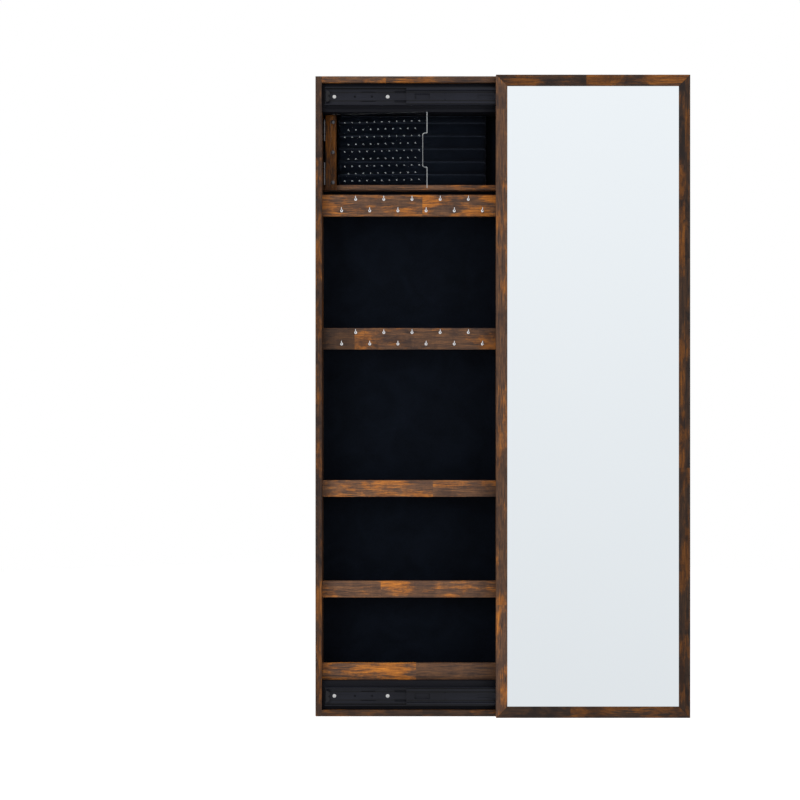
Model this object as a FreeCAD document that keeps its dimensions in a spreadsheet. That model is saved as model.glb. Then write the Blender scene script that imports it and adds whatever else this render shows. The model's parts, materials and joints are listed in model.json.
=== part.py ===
# Wall-hung jewelry cabinet behind a sliding mirror, drawn with the mirror slid open to the right.
# Millimetres. X runs to the right, Y into the wall and Z up, so the front faces -Y. The origin
# lies on the wall, midway between the two keyholes that the cabinet hangs by.
import FreeCAD
import Part
import Sketcher
import os
import re
from math import atan2, radians, sqrt

Vector = FreeCAD.Vector
doc = FreeCAD.newDocument("MirrorCabinet")

# ---------------------------------------------------------------- driving sizes
SIZES = {
    # carcass: 14.5 x 48 in front, four boards round a thin back that is lined with velvet
    "width": 368,
    "height": 1219,
    "depth": 83,
    "board": 12,
    "back_thickness": 3,
    "lining_thickness": 2,
    # keyhole hangers, whose raised faces lie on the wall
    "wall_gap": 7,
    "hanger_drop": 125,
    "hanger_width": 14,
    "hanger_raised": 22,
    "hanger_tab": 13,
    "hanger_steel": 1.5,
    "keyhole_radius": 4.5,
    "keyhole_slot": 2.2,
    "keyhole_rise": 7,
    # mirror door and its mitred frame
    "door_gap": 2,
    "door_travel": 343,
    "glass_thickness": 3,
    "glass_play": 0.5,
    "backing_thickness": 10,
    "frame_face": 21.5,
    "frame_lip": 4,
    "frame_lip_thickness": 2,
    "frame_edge": 0.8,
    "mitre_past": 2,
    # bays behind the door that hold the slides, and the battens that carry them
    "bottom_bay": 54.6,
    "top_bay": 46.5,
    "bay_floor": 8,
    "batten_thickness": 15,
    "slide_inset": 37.5,
    "notch_height": 45,
    "notch_play": 1.5,
    "notch_corner": 3,
    # shelves and their front lips
    "lip_inset": 22,
    "lip_thickness": 12,
    "lip_height": 31.5,
    "shelf_thickness": 12,
    "middle_shelf_rise": 224,
    "upper_shelf_rise": 417,
    # rails of hooks
    "rail_height": 40.8,
    "lower_rail_rise": 699.5,
    "upper_rail_drop": 264.3,
    "hook_pitch": 54,
    "hook_top_drop": 8.5,
    "hook_row_gap": 22,
    "hook_wire": 1.1,
    "hook_shank": 8,
    "hook_reach": 8.5,
    "hook_bend": 2,
    "hook_rise": 6,
    "hook_collar": 3,
    "hook_collar_thickness": 1.2,
    "hook_play": 0.05,
    # shelf and channelled cushion for rings
    "ring_shelf_drop": 211,
    "ring_shelf_thickness": 10,
    "ring_shelf_inset": 52,
    "cushion_width": 289,
    "cushion_first": 21.7,
    "cushion_pitch": 25,
    "cushion_crown": 4,
    "cushion_slit": 1.2,
    "cushion_slit_depth": 14,
    "cushion_end": 9,
    "cushion_draw": 3,
    "soft_play": 0.3,
    # hinged earring board
    "earring_inset": 45,
    "earring_swing": 10,
    "earring_drop": 212.5,
    "earring_height": 145.5,
    "earring_reach": 201.5,
    "earring_sheet": 3,
    "stile_width": 20,
    "stile_height": 145,
    "stile_thickness": 9,
    "finger_height": 65,
    "finger_depth": 8.4,
    "finger_corner": 4,
    "earring_hole": 1,
    "earring_column": 14.5,
    "earring_row": 28,
    "earring_margin": 15,
    "earring_screw_margin": 14.7,
    # butt hinges of the earring board
    "barrel": 3,
    "leaf": 1.2,
    "leaf_width": 6,
    "hinge_height": 43,
    "hinge_margin": 11,
    "hinge_pitch": 84.5,
    "knuckle": 14,
    "knuckle_play": 0.3,
    "pin_radius": 1,
    "pin_play": 0.05,
    # ball-bearing slides: 35 mm tall, 12.7 mm thick, full extension, nominally 350 mm long
    "slide_end_play": 6,
    "slide_height": 35,
    "slide_thickness": 12.7,
    "steel": 1.2,
    "bend": 1,
    "ball_radius": 2,
    "ball_play": 0.05,
    "race_depth": 0.3,
    "race_play": 0.1,
    "outer_depth": 9.8,
    "outer_lip": 1.9,
    "outer_ball_depth": 5.9,
    "middle_web_depth": 3.3,
    "middle_depth": 11.4,
    "middle_lip_reach": 15.5,
    "middle_travel": 145,
    "inner_ball_depth": 8.4,
    "inner_tip_depth": 5.5,
    "member_setback": 10,
    "cage_steel": 0.5,
    "cage_length": 110,
    "cage_margin": 8,
    "cage_rim": 0.65,
    "outer_cage_depth": 2.5,
    "outer_cage_margin": 14,
    "inner_cage_depth": 4.7,
    "inner_cage_start": 369,
    "bumper_start": 2,
    "bumper_body": 3.5,
    "bumper_height": 21,
    "bumper_lobe": 5.6,
    "bumper_depth": 8.5,
    # spare holes, slots and stiffening ribs' openings in the channels' webs, from their left ends
    "spare_hole": 57,
    "second_spare_hole": 89.5,
    "slot_start": 133,
    "slot_end": 155,
    "slot_side": 9,
    "slot_half": 2.2,
    "lance_start": 69,
    "lance_end": 96,
    "lance_half": 0.75,
    "window_start": 16,
    "window_end": 45,
    "window_half": 5.5,
    "middle_slot_start": 136,
    "middle_slot_end": 167,
    "middle_slot_half": 3,
    "inner_slot_start": 150,
    "inner_slot_end": 172,
    # wood screws
    "screw_radius": 1.75,
    "screw_head": 3.75,
    "screw_head_height": 1.1,
    "screw_length": 9,
    "screw_play": 0.05,
    "screw_hole": 2.2,
    "first_screw": 17.5,
    "second_screw": 119.5,
    "third_screw_margin": 45,
    "first_door_screw": 30,
    "last_door_screw_margin": 40,
}

# How many of each repeated feature there are.
HOLES_IN_LONG_ROW = 11
LONG_ROWS = 5
CUSHION_SLITS = 5
BALLS_PER_ROW = 4

# Places and sizes that follow from the driving ones, written once and used by name.
DERIVED = {
    "bottom": "hanger_drop - height",
    "top": "hanger_drop",
    "back": "-wall_gap",
    "front": "-wall_gap - depth",
    "left": "-width / 2",
    "right": "width / 2",
    "inner_left": "left + board",
    "inner_right": "right - board",
    "floor": "bottom + board",
    "ceiling": "top - board",
    "panel_front": "back - back_thickness",
    "lining_front": "panel_front - lining_thickness",
    "lip_front": "front + lip_inset",
    "lip_back": "lip_front + lip_thickness",
    "lower_shelf": "floor + bottom_bay",
    "middle_shelf": "bottom + middle_shelf_rise",
    "upper_shelf": "bottom + upper_shelf_rise",
    "bay_floor_top": "ceiling - top_bay",
    "bay_floor_bottom": "bay_floor_top - bay_floor",
    "lower_rail": "bottom + lower_rail_rise",
    "upper_rail": "top - upper_rail_drop",
    "ring_shelf": "top - ring_shelf_drop",
    "ring_front": "front + ring_shelf_inset",
    "door_back": "front - door_gap",
    "door_thickness": "frame_lip_thickness + glass_thickness + backing_thickness",
    "door_front": "door_back - door_thickness",
    "door_left": "left + door_travel",
    "door_right": "right + door_travel",
    "rebate": "frame_face - frame_lip",
    "batten_front": "door_back + slide_thickness",
    "top_slide": "top - slide_inset",
    "bottom_slide": "bottom + slide_inset",
    "slide_left": "inner_left + slide_end_play",
    "slide_length": "right - slide_left",
    "hanger_centre": "right - hanger_width / 2",
    "tab_centre": "hanger_raised / 2 + hanger_tab / 2",
    "pilot": "screw_radius + screw_play",
    # depths and half heights inside a slide, counted from the outer channel's back and centre
    "race": "ball_radius + race_play",
    "race_half": "sqrt(2 * race * race_depth - race_depth ^ 2)",
    "bulge": "race + steel",
    "bulge_half": "sqrt(2 * bulge * race_depth - race_depth ^ 2)",
    "outer_face": "slide_height / 2 - race_depth",
    "outer_ball": "slide_height / 2 - steel - ball_play - ball_radius",
    "middle_face": "outer_ball - ball_radius - ball_play + race_depth",
    "inner_ball": "middle_face - steel + race_depth - ball_play - ball_radius",
    "inner_face": "inner_ball - ball_radius - ball_play + race_depth",
    "member_length": "slide_length - member_setback",
    "outer_cage_start": "slide_length - outer_cage_margin - cage_length",
    # the screws nearest to the right ends of the outer and the inner channels
    "third_screw": "slide_length - third_screw_margin",
    "last_door_screw": "member_length - last_door_screw_margin",
    # the earring board's hinge axis
    "axis_x": "inner_left + barrel",
    "axis_y": "front + earring_inset",
    "earring_low": "top - earring_drop",
    "low_hinge": "earring_low + hinge_margin",
    "high_hinge": "low_hinge + hinge_pitch",
}

sheet = doc.addObject("Spreadsheet::Sheet", "Sizes")
for row, (alias, number) in enumerate(SIZES.items(), start=1):
    sheet.set(f"A{row}", alias)
    sheet.set(f"B{row}", str(number))
    sheet.setAlias(f"B{row}", alias)
doc.recompute()


# ---------------------------------------------------------------- expressions and placing
def formula(text):
    """Spell a formula out in cells of the sheet, down to the driving sizes."""

    def spell(match):
        word = match[0]
        if word in DERIVED:
            return f"({formula(DERIVED[word])})"
        return f"Sizes.{word}" if word in SIZES else word

    return re.sub(r"[a-z_]+", spell, text)


def number(text):
    """The present value of a formula."""
    return float(sheet.evalExpression(formula(text)))


def bind(thing, **formulas):
    """Bind properties of an object to formulas."""
    for name, text in formulas.items():
        thing.setExpression(name, formula(text))


def place(thing, x="0", y="0", z="0", turn=None, angle=None):
    """Put an object's own origin at a place, turned about an axis by a formula in degrees."""
    if turn:
        thing.Placement = FreeCAD.Placement(Vector(), FreeCAD.Rotation(Vector(*turn), number(angle)))
        thing.setExpression("Placement.Rotation.Angle", formula(angle))
    for letter, text in zip("xyz", (x, y, z)):
        thing.setExpression(f"Placement.Base.{letter}", formula(text))
    return thing


def negative(text):
    return f"-({text})"


def swung(x, y):
    """A point of the earring board, given from its hinge axis, after its swing at rest."""
    across = f"axis_x + ({x}) * cos(earring_swing) + ({y}) * sin(earring_swing)"
    inward = f"axis_y - ({x}) * sin(earring_swing) + ({y}) * cos(earring_swing)"
    return across, inward


# ---------------------------------------------------------------- sketches
def sketch_on(body, name, plane, offset="0"):
    """A sketch on one of the body's own origin planes, moved along the plane's normal."""
    sketch = body.newObject("Sketcher::SketchObject", f"{body.Name}_{name}")
    support = [feature for feature in body.Origin.OriginFeatures if feature.Role == plane]
    sketch.AttachmentSupport = (support[0], [""])
    sketch.MapMode = "FlatFace"
    sketch.setExpression("AttachmentOffset.Base.z", formula(offset))
    return sketch


def constrain(sketch, constraints):
    """Add constraints together; those that come with a formula are bound to it."""
    made = [
        Sketcher.Constraint(kind, *arguments, *([] if text is None else [number(text)]))
        for kind, arguments, text in constraints
    ]
    indexes = sketch.addConstraint(made)
    for index, (kind, arguments, text) in zip(indexes, constraints):
        if text is not None:
            sketch.setExpression(f"Constraints[{index}]", formula(text))


def arc_between(start, end, radius):
    """The arc under half a circle from start to end; a positive radius turns left."""
    chord = end - start
    across = Vector(-chord.y, chord.x, 0).normalize()
    rise = sqrt(radius**2 - (chord.Length / 2) ** 2)
    centre = (start + end) * 0.5 + across * (rise if radius > 0 else -rise)
    first, last = (start, end) if radius > 0 else (end, start)
    angles = [atan2(point.y - centre.y, point.x - centre.x) for point in (first, last)]
    circle = Part.Circle(centre, Vector(0, 0, 1), abs(radius))
    return Part.ArcOfCircle(circle, angles[0], angles[1] + (radians(360) if angles[1] < angles[0] else 0))


def outline(sketch, corners, closed=True):
    """Lines through corners (x, y); a corner (x, y, radius) is reached by an arc instead."""
    spots = [Vector(number(corner[0]), number(corner[1]), 0) for corner in corners]
    begin = sketch.GeometryCount
    ends = []
    constraints = []
    for index in range(0 if closed else 1, len(corners)):
        corner = corners[index]
        radius = corner[2] if len(corner) == 3 else None
        start, end = spots[index - 1], spots[index]
        shape = arc_between(start, end, number(radius)) if radius else Part.LineSegment(start, end)
        piece = sketch.addGeometry(shape, False)
        turned = radius is not None and number(radius) < 0
        ends.append((piece, 2, 1) if turned else (piece, 1, 2))
        constraints.append(("DistanceX", (piece, ends[-1][2]), corner[0]))
        constraints.append(("DistanceY", (piece, ends[-1][2]), corner[1]))
        if radius:
            size = negative(radius) if turned else radius
            constraints.append(("Radius", (piece,), size))
    for this, following in zip(ends, ends[1:] + (ends[:1] if closed else [])):
        constraints.append(("Coincident", (this[0], this[2], following[0], following[1]), None))
    if not closed:
        constraints.append(("DistanceX", (begin, ends[0][1]), corners[0][0]))
        constraints.append(("DistanceY", (begin, ends[0][1]), corners[0][1]))
    constrain(sketch, constraints)
    return sketch


def ring(sketch, x, y, radius):
    """A full circle."""
    shape = Part.Circle(Vector(number(x), number(y), 0), Vector(0, 0, 1), number(radius))
    circle = sketch.addGeometry(shape, False)
    constrain(
        sketch,
        [("DistanceX", (circle, 3), x), ("DistanceY", (circle, 3), y), ("Radius", (circle,), radius)],
    )
    return sketch


def polygon(sketch, x, y, radius, sides, turn=0):
    """A regular polygon, drawn for small round holes and wires that repeat many times."""
    steps = [360 / sides * step + turn for step in range(sides)]
    corners = [(f"({x}) + ({radius}) * cos({step})", f"({y}) + ({radius}) * sin({step})") for step in steps]
    return outline(sketch, corners)


def rectangle(sketch, left, low, right, high):
    return outline(sketch, [(left, low), (right, low), (right, high), (left, high)])


def mirrored(path):
    """A path's mirror image in the X axis, run backwards, so that the two close an outline."""
    backwards = []
    for index in range(len(path) - 1, -1, -1):
        radius = path[index + 1][2:] if index + 1 < len(path) else ()
        backwards.append((path[index][0], negative(path[index][1]), *radius))
    return backwards


# ---------------------------------------------------------------- features
def new_body(name):
    return doc.addObject("PartDesign::Body", name)


def pad(body, sketch, length, reverse=False):
    feature = body.newObject("PartDesign::Pad", f"{sketch.Name}_pad")
    feature.Profile = sketch
    feature.Reversed = reverse
    bind(feature, Length=length)
    return feature


def cut_through(body, sketch):
    """Cut a sketch through the body on both sides of its plane."""
    feature = body.newObject("PartDesign::Pocket", f"{sketch.Name}_cut")
    feature.Profile = sketch
    feature.Type = "ThroughAll"
    feature.SideType = "Symmetric"
    return feature


def cut_blind(body, sketch, length):
    """Cut a sketch to a depth on each side of its plane."""
    feature = body.newObject("PartDesign::Pocket", f"{sketch.Name}_cut")
    feature.Profile = sketch
    feature.SideType = "Symmetric"
    bind(feature, Length=f"2 * ({length})")
    return feature


def repeat(body, feature, axis, pitch, count, second_axis=None, second_pitch=None, second_count=1):
    """Repeat a feature along one or two of the body's axes."""
    lines = {line.Role: line for line in body.Origin.OriginFeatures}
    pattern = body.newObject("PartDesign::LinearPattern", f"{feature.Name}_pattern")
    pattern.Originals = [feature]
    pattern.Direction = (lines[axis], [""])
    pattern.Mode = "Spacing"
    pattern.Occurrences = count
    bind(pattern, Offset=pitch)
    if second_axis:
        pattern.Direction2 = (lines[second_axis], [""])
        pattern.Mode2 = "Spacing"
        pattern.Occurrences2 = second_count
        bind(pattern, Offset2=second_pitch)
    body.Tip = pattern
    return pattern


def plank(name, x, y, z):
    """A square-edged board between pairs of planes."""
    box = doc.addObject("Part::Box", name)
    for side, (low, high) in zip(("Length", "Width", "Height"), (x, y, z)):
        box.setExpression(side, formula(f"({high}) - ({low})"))
    return place(box, x[0], y[0], z[0])


def group(name, thing, spots):
    """Copies of one thing as separate solids; each spot is (x, y, z) or (x, y, z, turn, angle)."""
    links = []
    for index, spot in enumerate(spots, start=1):
        link = doc.addObject("App::Link", f"{name}_{index}")
        link.LinkedObject = thing
        link.LinkTransform = True
        links.append(place(link, *spot))
    compound = doc.addObject("Part::Compound", name)
    compound.Links = links
    return compound


def drilled_plank(name, x, y, z, drill, spots):
    """A board with blind pilot holes."""
    cut = doc.addObject("Part::Cut", name)
    cut.Base = plank(f"{name}_blank", x, y, z)
    cut.Tool = group(f"{name}_holes", drill, spots)
    return cut


# Turns that lay a prism's own axis along another one.
ALONG = {
    "+x": FreeCAD.Rotation(Vector(0, 1, 0), 90),
    "+y": FreeCAD.Rotation(Vector(1, 0, 0), -90),
    "-y": FreeCAD.Rotation(Vector(1, 0, 0), 90),
    "+z": FreeCAD.Rotation(),
}


def prism(name, sides, radius, height, along, spin=0):
    """A straight prism that starts at the origin, spun about its axis and laid along another."""
    thing = doc.addObject("Part::Prism", name)
    thing.Polygon = sides
    bind(thing, Circumradius=radius, Height=height)
    turn = ALONG[along] * FreeCAD.Rotation(Vector(0, 0, 1), spin)
    thing.Placement = FreeCAD.Placement(Vector(), turn)
    return thing


# ---------------------------------------------------------------- screws and drills
# One wood screw serves all: its axis is Y, the head's seat is at y = 0 and the point at +Y.
# Shanks are drawn six-sided and heads twelve-sided.
def wood_screw():
    head = prism("screw_head_disc", 12, "screw_head", "screw_head_height", "-y")
    shank = prism("screw_shank", 6, "screw_radius", "screw_length", "+y")
    screw = doc.addObject("Part::MultiFuse", "wood_screw")
    screw.Shapes = [head, shank]
    return screw


def drill_for(name, radius, depth):
    """A hole that starts at y = 0 and runs towards +Y."""
    return prism(name, 6, radius, depth, "+y")


SCREW = wood_screw()
WEB_DRILL = drill_for("web_drill", "pilot", "screw_length - steel + screw_play")
TAB_DRILL = drill_for("tab_drill", "pilot", "screw_length - hanger_steel + screw_play")
SHEET_DRILL = drill_for("sheet_drill", "pilot", "screw_length - earring_sheet + screw_play")
HOOK_DRILL = drill_for("hook_drill", "hook_wire + hook_play", "hook_shank + hook_play")
TOWARDS_FRONT = ((0, 0, 1), "180")


# ---------------------------------------------------------------- carcass
def hanger_holes(x):
    """The screws of the hanger at x: one above its raised face and one below."""
    return [(x, "back", z, *TOWARDS_FRONT) for z in ("tab_centre", "-(tab_centre)")]


def side_panel_left():
    drilled_plank(
        "side_panel_left",
        ("left", "inner_left"),
        ("front", "back"),
        ("bottom", "top"),
        TAB_DRILL,
        hanger_holes("-(hanger_centre)"),
    )


def notch(centre):
    """The mouth that a slide runs out through, as corners down the panel's front edge."""
    high = f"{centre} + notch_height / 2"
    low = f"{centre} - notch_height / 2"
    floor = "batten_front + notch_play"
    return [
        ("front", high),
        (f"{floor} - notch_corner", high),
        (floor, f"{high} - notch_corner", "-notch_corner"),
        (floor, f"{low} + notch_corner"),
        (f"{floor} - notch_corner", low, "-notch_corner"),
        ("front", low),
    ]


def side_panel_right():
    panel = new_body("side_panel_right_blank")
    profile = sketch_on(panel, "profile", "YZ_Plane")
    corners = [("back", "top"), ("front", "top")]
    for centre in ("top_slide", "bottom_slide"):
        corners += notch(centre)
    corners += [("front", "bottom"), ("back", "bottom")]
    pad(panel, outline(profile, corners), "board")
    place(panel, x="inner_right")
    cut = doc.addObject("Part::Cut", "side_panel_right")
    cut.Base = panel
    cut.Tool = group("side_panel_right_holes", TAB_DRILL, hanger_holes("hanger_centre"))


def carcass():
    across = ("inner_left", "inner_right")
    upright = ("floor", "ceiling")
    side_panel_left()
    side_panel_right()
    plank("top_panel", across, ("front", "back"), ("ceiling", "top"))
    plank("bottom_panel", across, ("front", "back"), ("bottom", "floor"))
    plank("back_panel", across, ("panel_front", "back"), upright)
    plank("back_lining", across, ("lining_front", "panel_front"), upright)


def hanger():
    """A hat-shaped steel strap: two tabs screwed to the carcass and a raised face with a keyhole."""
    strap = new_body("hanger_right")
    half = "hanger_raised / 2"
    tip = f"{half} + hanger_tab"
    upper = [
        ("0", f"{half}"),
        ("-(wall_gap) + hanger_steel", half),
        ("-(wall_gap) + hanger_steel", tip),
        ("-(wall_gap)", tip),
        ("-(wall_gap)", f"{half} - hanger_steel"),
        ("-(hanger_steel)", f"{half} - hanger_steel"),
    ]
    profile = outline(sketch_on(strap, "profile", "YZ_Plane", "-hanger_width / 2"), upper + mirrored(upper))
    pad(strap, profile, "hanger_width")
    shoulder = "sqrt(keyhole_radius ^ 2 - keyhole_slot ^ 2)"
    keyhole = sketch_on(strap, "keyhole", "XZ_Plane")
    outline(
        keyhole,
        [
            ("keyhole_slot", shoulder, "keyhole_radius"),
            ("keyhole_slot", "keyhole_rise"),
            ("0", "keyhole_rise + keyhole_slot", "keyhole_slot"),
            ("-keyhole_slot", "keyhole_rise", "keyhole_slot"),
            ("-keyhole_slot", shoulder),
            ("-keyhole_radius", "0", "keyhole_radius"),
            ("0", "-keyhole_radius", "keyhole_radius"),
            ("keyhole_radius", "0", "keyhole_radius"),
        ],
    )
    cut_blind(strap, keyhole, "hanger_steel + screw_play")
    holes = sketch_on(strap, "tab_holes", "XZ_Plane")
    for side in ("tab_centre", "-(tab_centre)"):
        polygon(holes, "0", side, "screw_hole", 12)
    cut_through(strap, holes)
    place(strap, x="hanger_centre")
    return strap


def hangers():
    right = hanger()
    left = doc.addObject("Part::Mirroring", "hanger_left")
    left.Source = right
    left.Normal = Vector(1, 0, 0)
    seat = "back + hanger_steel"
    spots = [
        (x, seat, z, *TOWARDS_FRONT)
        for x in ("hanger_centre", "-(hanger_centre)")
        for z in ("tab_centre", "-(tab_centre)")
    ]
    group("hanger_screws", SCREW, spots)


# ---------------------------------------------------------------- shelves, lips and rails
def shelves():
    across = ("inner_left", "inner_right")
    for name in ("lower", "middle", "upper"):
        level = f"{name}_shelf"
        plank(f"shelf_{name}", across, ("lip_back", "lining_front"), (level, f"{level} + shelf_thickness"))
        plank(f"lip_{name}", across, ("lip_front", "lip_back"), (level, f"{level} + lip_height"))
    ring_shelf_top = "ring_shelf + ring_shelf_thickness"
    plank("ring_shelf", across, ("ring_front", "lining_front"), ("ring_shelf", ring_shelf_top))
    plank("slide_bay_floor", across, ("batten_front", "lining_front"), ("bay_floor_bottom", "bay_floor_top"))


def hook():
    """A wire hook: shank in the rail, collar on its face, and a nose that turns up."""
    body = new_body("hook")
    wire = polygon(sketch_on(body, "wire", "XZ_Plane"), "0", "0", "hook_wire", 6)
    pad(body, wire, "hook_shank", reverse=True)
    collar = polygon(sketch_on(body, "collar", "XZ_Plane"), "0", "0", "hook_collar", 8)
    pad(body, collar, "hook_collar_thickness")
    path = sketch_on(body, "path", "YZ_Plane")
    nose = "-(hook_reach + hook_bend)"
    outline(path, [("0", "0"), ("-hook_reach", "0"), (nose, "hook_bend"), (nose, "hook_rise")], closed=False)
    pipe = body.newObject("PartDesign::AdditivePipe", "hook_nose")
    pipe.Profile = wire
    pipe.Spine = (path, ["Edge1", "Edge2", "Edge3"])
    pipe.Transition = "Right corner"
    return body


def hook_spots(rail):
    """Two staggered rows of hooks on one rail, given by its lower edge."""
    upper = f"{rail} + rail_height - hook_top_drop"
    spots = [(f"{step} * hook_pitch", "lip_front", upper) for step in range(-2, 3)]
    lower = f"{upper} - hook_row_gap"
    return spots + [(f"{step + 0.5} * hook_pitch", "lip_front", lower) for step in range(-3, 3)]


def rails():
    shape = hook()
    for name in ("lower", "upper"):
        rail = f"{name}_rail"
        drilled_plank(
            f"hook_rail_{name}",
            ("inner_left", "inner_right"),
            ("lip_front", "lip_back"),
            (rail, f"{rail} + rail_height"),
            HOOK_DRILL,
            hook_spots(rail),
        )
        group(f"hooks_{name}", shape, hook_spots(rail))


# ---------------------------------------------------------------- ring cushion
def cushion_section(body, name, place_along, draw):
    """A cut across the rolls: flat back, and a crowned front with a slit between rolls."""
    low = "ring_shelf + ring_shelf_thickness + soft_play"
    high = "bay_floor_bottom - soft_play"
    back = "lining_front - soft_play"
    face = f"ring_front + cushion_crown + {draw}"
    depth = f"{face} + cushion_slit_depth"
    corners = [(back, low), (face, low)]
    first = "ring_shelf + ring_shelf_thickness + cushion_first"
    edges = [f"{first} + {step} * cushion_pitch" for step in range(CUSHION_SLITS)]
    starts = [low] + [f"{edge} + cushion_slit / 2" for edge in edges]
    stops = [f"{edge} - cushion_slit / 2" for edge in edges] + [high]
    for index, (start, stop) in enumerate(zip(starts, stops)):
        chord = f"({stop} - ({start}))"
        radius = f"-(({chord} ^ 2 / 4 + cushion_crown ^ 2) / (2 * cushion_crown))"
        corners.append((face, stop, radius))
        if index < len(edges):
            corners += [(depth, stop), (depth, starts[index + 1]), (face, starts[index + 1])]
    corners.append((back, high))
    return outline(sketch_on(body, name, "YZ_Plane", place_along), corners)


def ring_cushion():
    """Six padded rolls side by side, lofted so that their ends draw in."""
    body = new_body("ring_cushion")
    half = "cushion_width / 2"
    sections = [
        cushion_section(body, "left_end", f"-({half})", "cushion_draw"),
        cushion_section(body, "left", f"-({half} - cushion_end)", "0"),
        cushion_section(body, "right", f"{half} - cushion_end", "0"),
        cushion_section(body, "right_end", half, "cushion_draw"),
    ]
    loft = body.newObject("PartDesign::AdditiveLoft", "cushion_rolls")
    loft.Profile = sections[0]
    loft.Sections = sections[1:]
    loft.Ruled = True


# ---------------------------------------------------------------- earring board
# The sheet laps half of the stile, and its screws stand in the middle of the lap.
EARRING_SCREW_COLUMN = "barrel + 3 * stile_width / 4"
EARRING_SCREW_HEIGHTS = (
    "earring_screw_margin",
    "earring_height / 2",
    "earring_height - earring_screw_margin",
)


def earring_board():
    """Clear sheet with staggered rows of holes and a finger notch, screwed to a wooden stile."""
    turn = dict(x="axis_x", y="axis_y", z="earring_low", turn=(0, 0, 1), angle="-earring_swing")
    stile = new_body("earring_stile")
    section = sketch_on(stile, "section", "XY_Plane")
    rectangle(section, "barrel", "-barrel", "barrel + stile_width", "stile_thickness - barrel")
    pad(stile, section, "stile_height")
    pilots = sketch_on(stile, "pilots", "XZ_Plane", "barrel")
    for height in EARRING_SCREW_HEIGHTS:
        polygon(pilots, EARRING_SCREW_COLUMN, height, "pilot", 6)
    cut_blind(stile, pilots, "screw_length - earring_sheet + screw_play")
    place(stile, **turn)

    board = new_body("earring_board")
    middle = "earring_height / 2"
    neck = "earring_reach - finger_depth"
    low = f"{middle} - finger_height / 2"
    high = f"{middle} + finger_height / 2"
    face = sketch_on(board, "outline", "XZ_Plane", "barrel")
    outline(
        face,
        [
            ("barrel + stile_width / 2", "0"),
            ("earring_reach", "0"),
            ("earring_reach", low),
            (f"{neck} + finger_corner", low),
            (neck, f"{low} + finger_corner", "-finger_corner"),
            (neck, f"{high} - finger_corner"),
            (f"{neck} + finger_corner", high, "-finger_corner"),
            ("earring_reach", high),
            ("earring_reach", "earring_height"),
            ("barrel + stile_width / 2", "earring_height"),
        ],
    )
    pad(board, face, "earring_sheet")
    screws = sketch_on(board, "screw_holes", "XZ_Plane")
    for height in EARRING_SCREW_HEIGHTS:
        polygon(screws, EARRING_SCREW_COLUMN, height, "pilot", 12)
    cut_through(board, screws)
    for name, shorter in (("long", 0), ("short", 1)):
        columns = HOLES_IN_LONG_ROW - shorter
        rows = LONG_ROWS - shorter
        column = f"earring_reach - earring_margin - {columns - 1 + shorter / 2} * earring_column"
        row = f"{middle} - {(rows - 1) / 2} * earring_row"
        hole = polygon(sketch_on(board, f"{name}_rows", "XZ_Plane"), column, row, "earring_hole", 6)
        cut = cut_through(board, hole)
        repeat(board, cut, "X_Axis", "earring_column", columns, "Z_Axis", "earring_row", rows)
    place(board, **turn)

    seat = swung(EARRING_SCREW_COLUMN, "-barrel - earring_sheet")
    swing = ((0, 0, 1), "-earring_swing")
    spots = [(*seat, f"earring_low + {height}", *swing) for height in EARRING_SCREW_HEIGHTS]
    group("earring_board_screws", SCREW, spots)


def hinge_leaf(name, side, windows):
    """One leaf of a butt hinge with its share of the barrel; windows make room for the other's."""
    body = new_body(name)
    strip = sketch_on(body, "strip", "XY_Plane")
    rectangle(strip, f"{side} * (barrel - leaf)", "0", f"{side} * barrel", "leaf_width")
    pad(body, strip, "hinge_height")
    tube = ring(sketch_on(body, "tube", "XY_Plane"), "0", "0", "barrel")
    pad(body, tube, "hinge_height")
    bore = ring(sketch_on(body, "bore", "XY_Plane"), "0", "0", "pin_radius + pin_play")
    cut_through(body, bore)
    gaps = sketch_on(body, "gaps", "YZ_Plane")
    for low, high in windows:
        rectangle(gaps, "-barrel - knuckle_play", low, "barrel + knuckle_play", high)
    cut_through(body, gaps)
    return body


def hinges():
    upper = "hinge_height - knuckle"
    wall = hinge_leaf("hinge_wall_leaf", "-1", [("knuckle", upper)])
    ends = [
        ("-knuckle_play", "knuckle + knuckle_play"),
        (f"{upper} - knuckle_play", "hinge_height + knuckle_play"),
    ]
    door = hinge_leaf("hinge_door_leaf", "1", ends)
    pin = doc.addObject("Part::Cylinder", "hinge_pin")
    bind(pin, Radius="pin_radius", Height="hinge_height")
    levels = ("low_hinge", "high_hinge")
    group("earring_hinge_wall_leaves", wall, [("axis_x", "axis_y", level) for level in levels])
    group("earring_hinge_pins", pin, [("axis_x", "axis_y", level) for level in levels])
    swing = ((0, 0, 1), "-earring_swing")
    group("earring_hinge_door_leaves", door, [("axis_x", "axis_y", level, *swing) for level in levels])


# ---------------------------------------------------------------- slides
# Every member is drawn from its left end; depth runs towards the front from the batten.
OUTER_SCREWS = ("first_screw", "second_screw", "third_screw")
DOOR_SCREWS = ("first_door_screw", "last_door_screw")


def member(name, half_path, length, x, level):
    """A rolled channel from the upper half of its section, given as (depth, height, radius)."""
    body = new_body(name)
    upper = [(negative(corner[0]), *corner[1:]) for corner in half_path]
    pad(body, outline(sketch_on(body, "section", "YZ_Plane"), upper + mirrored(upper)), length)
    place(body, x, "batten_front", level)
    return body


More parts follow.
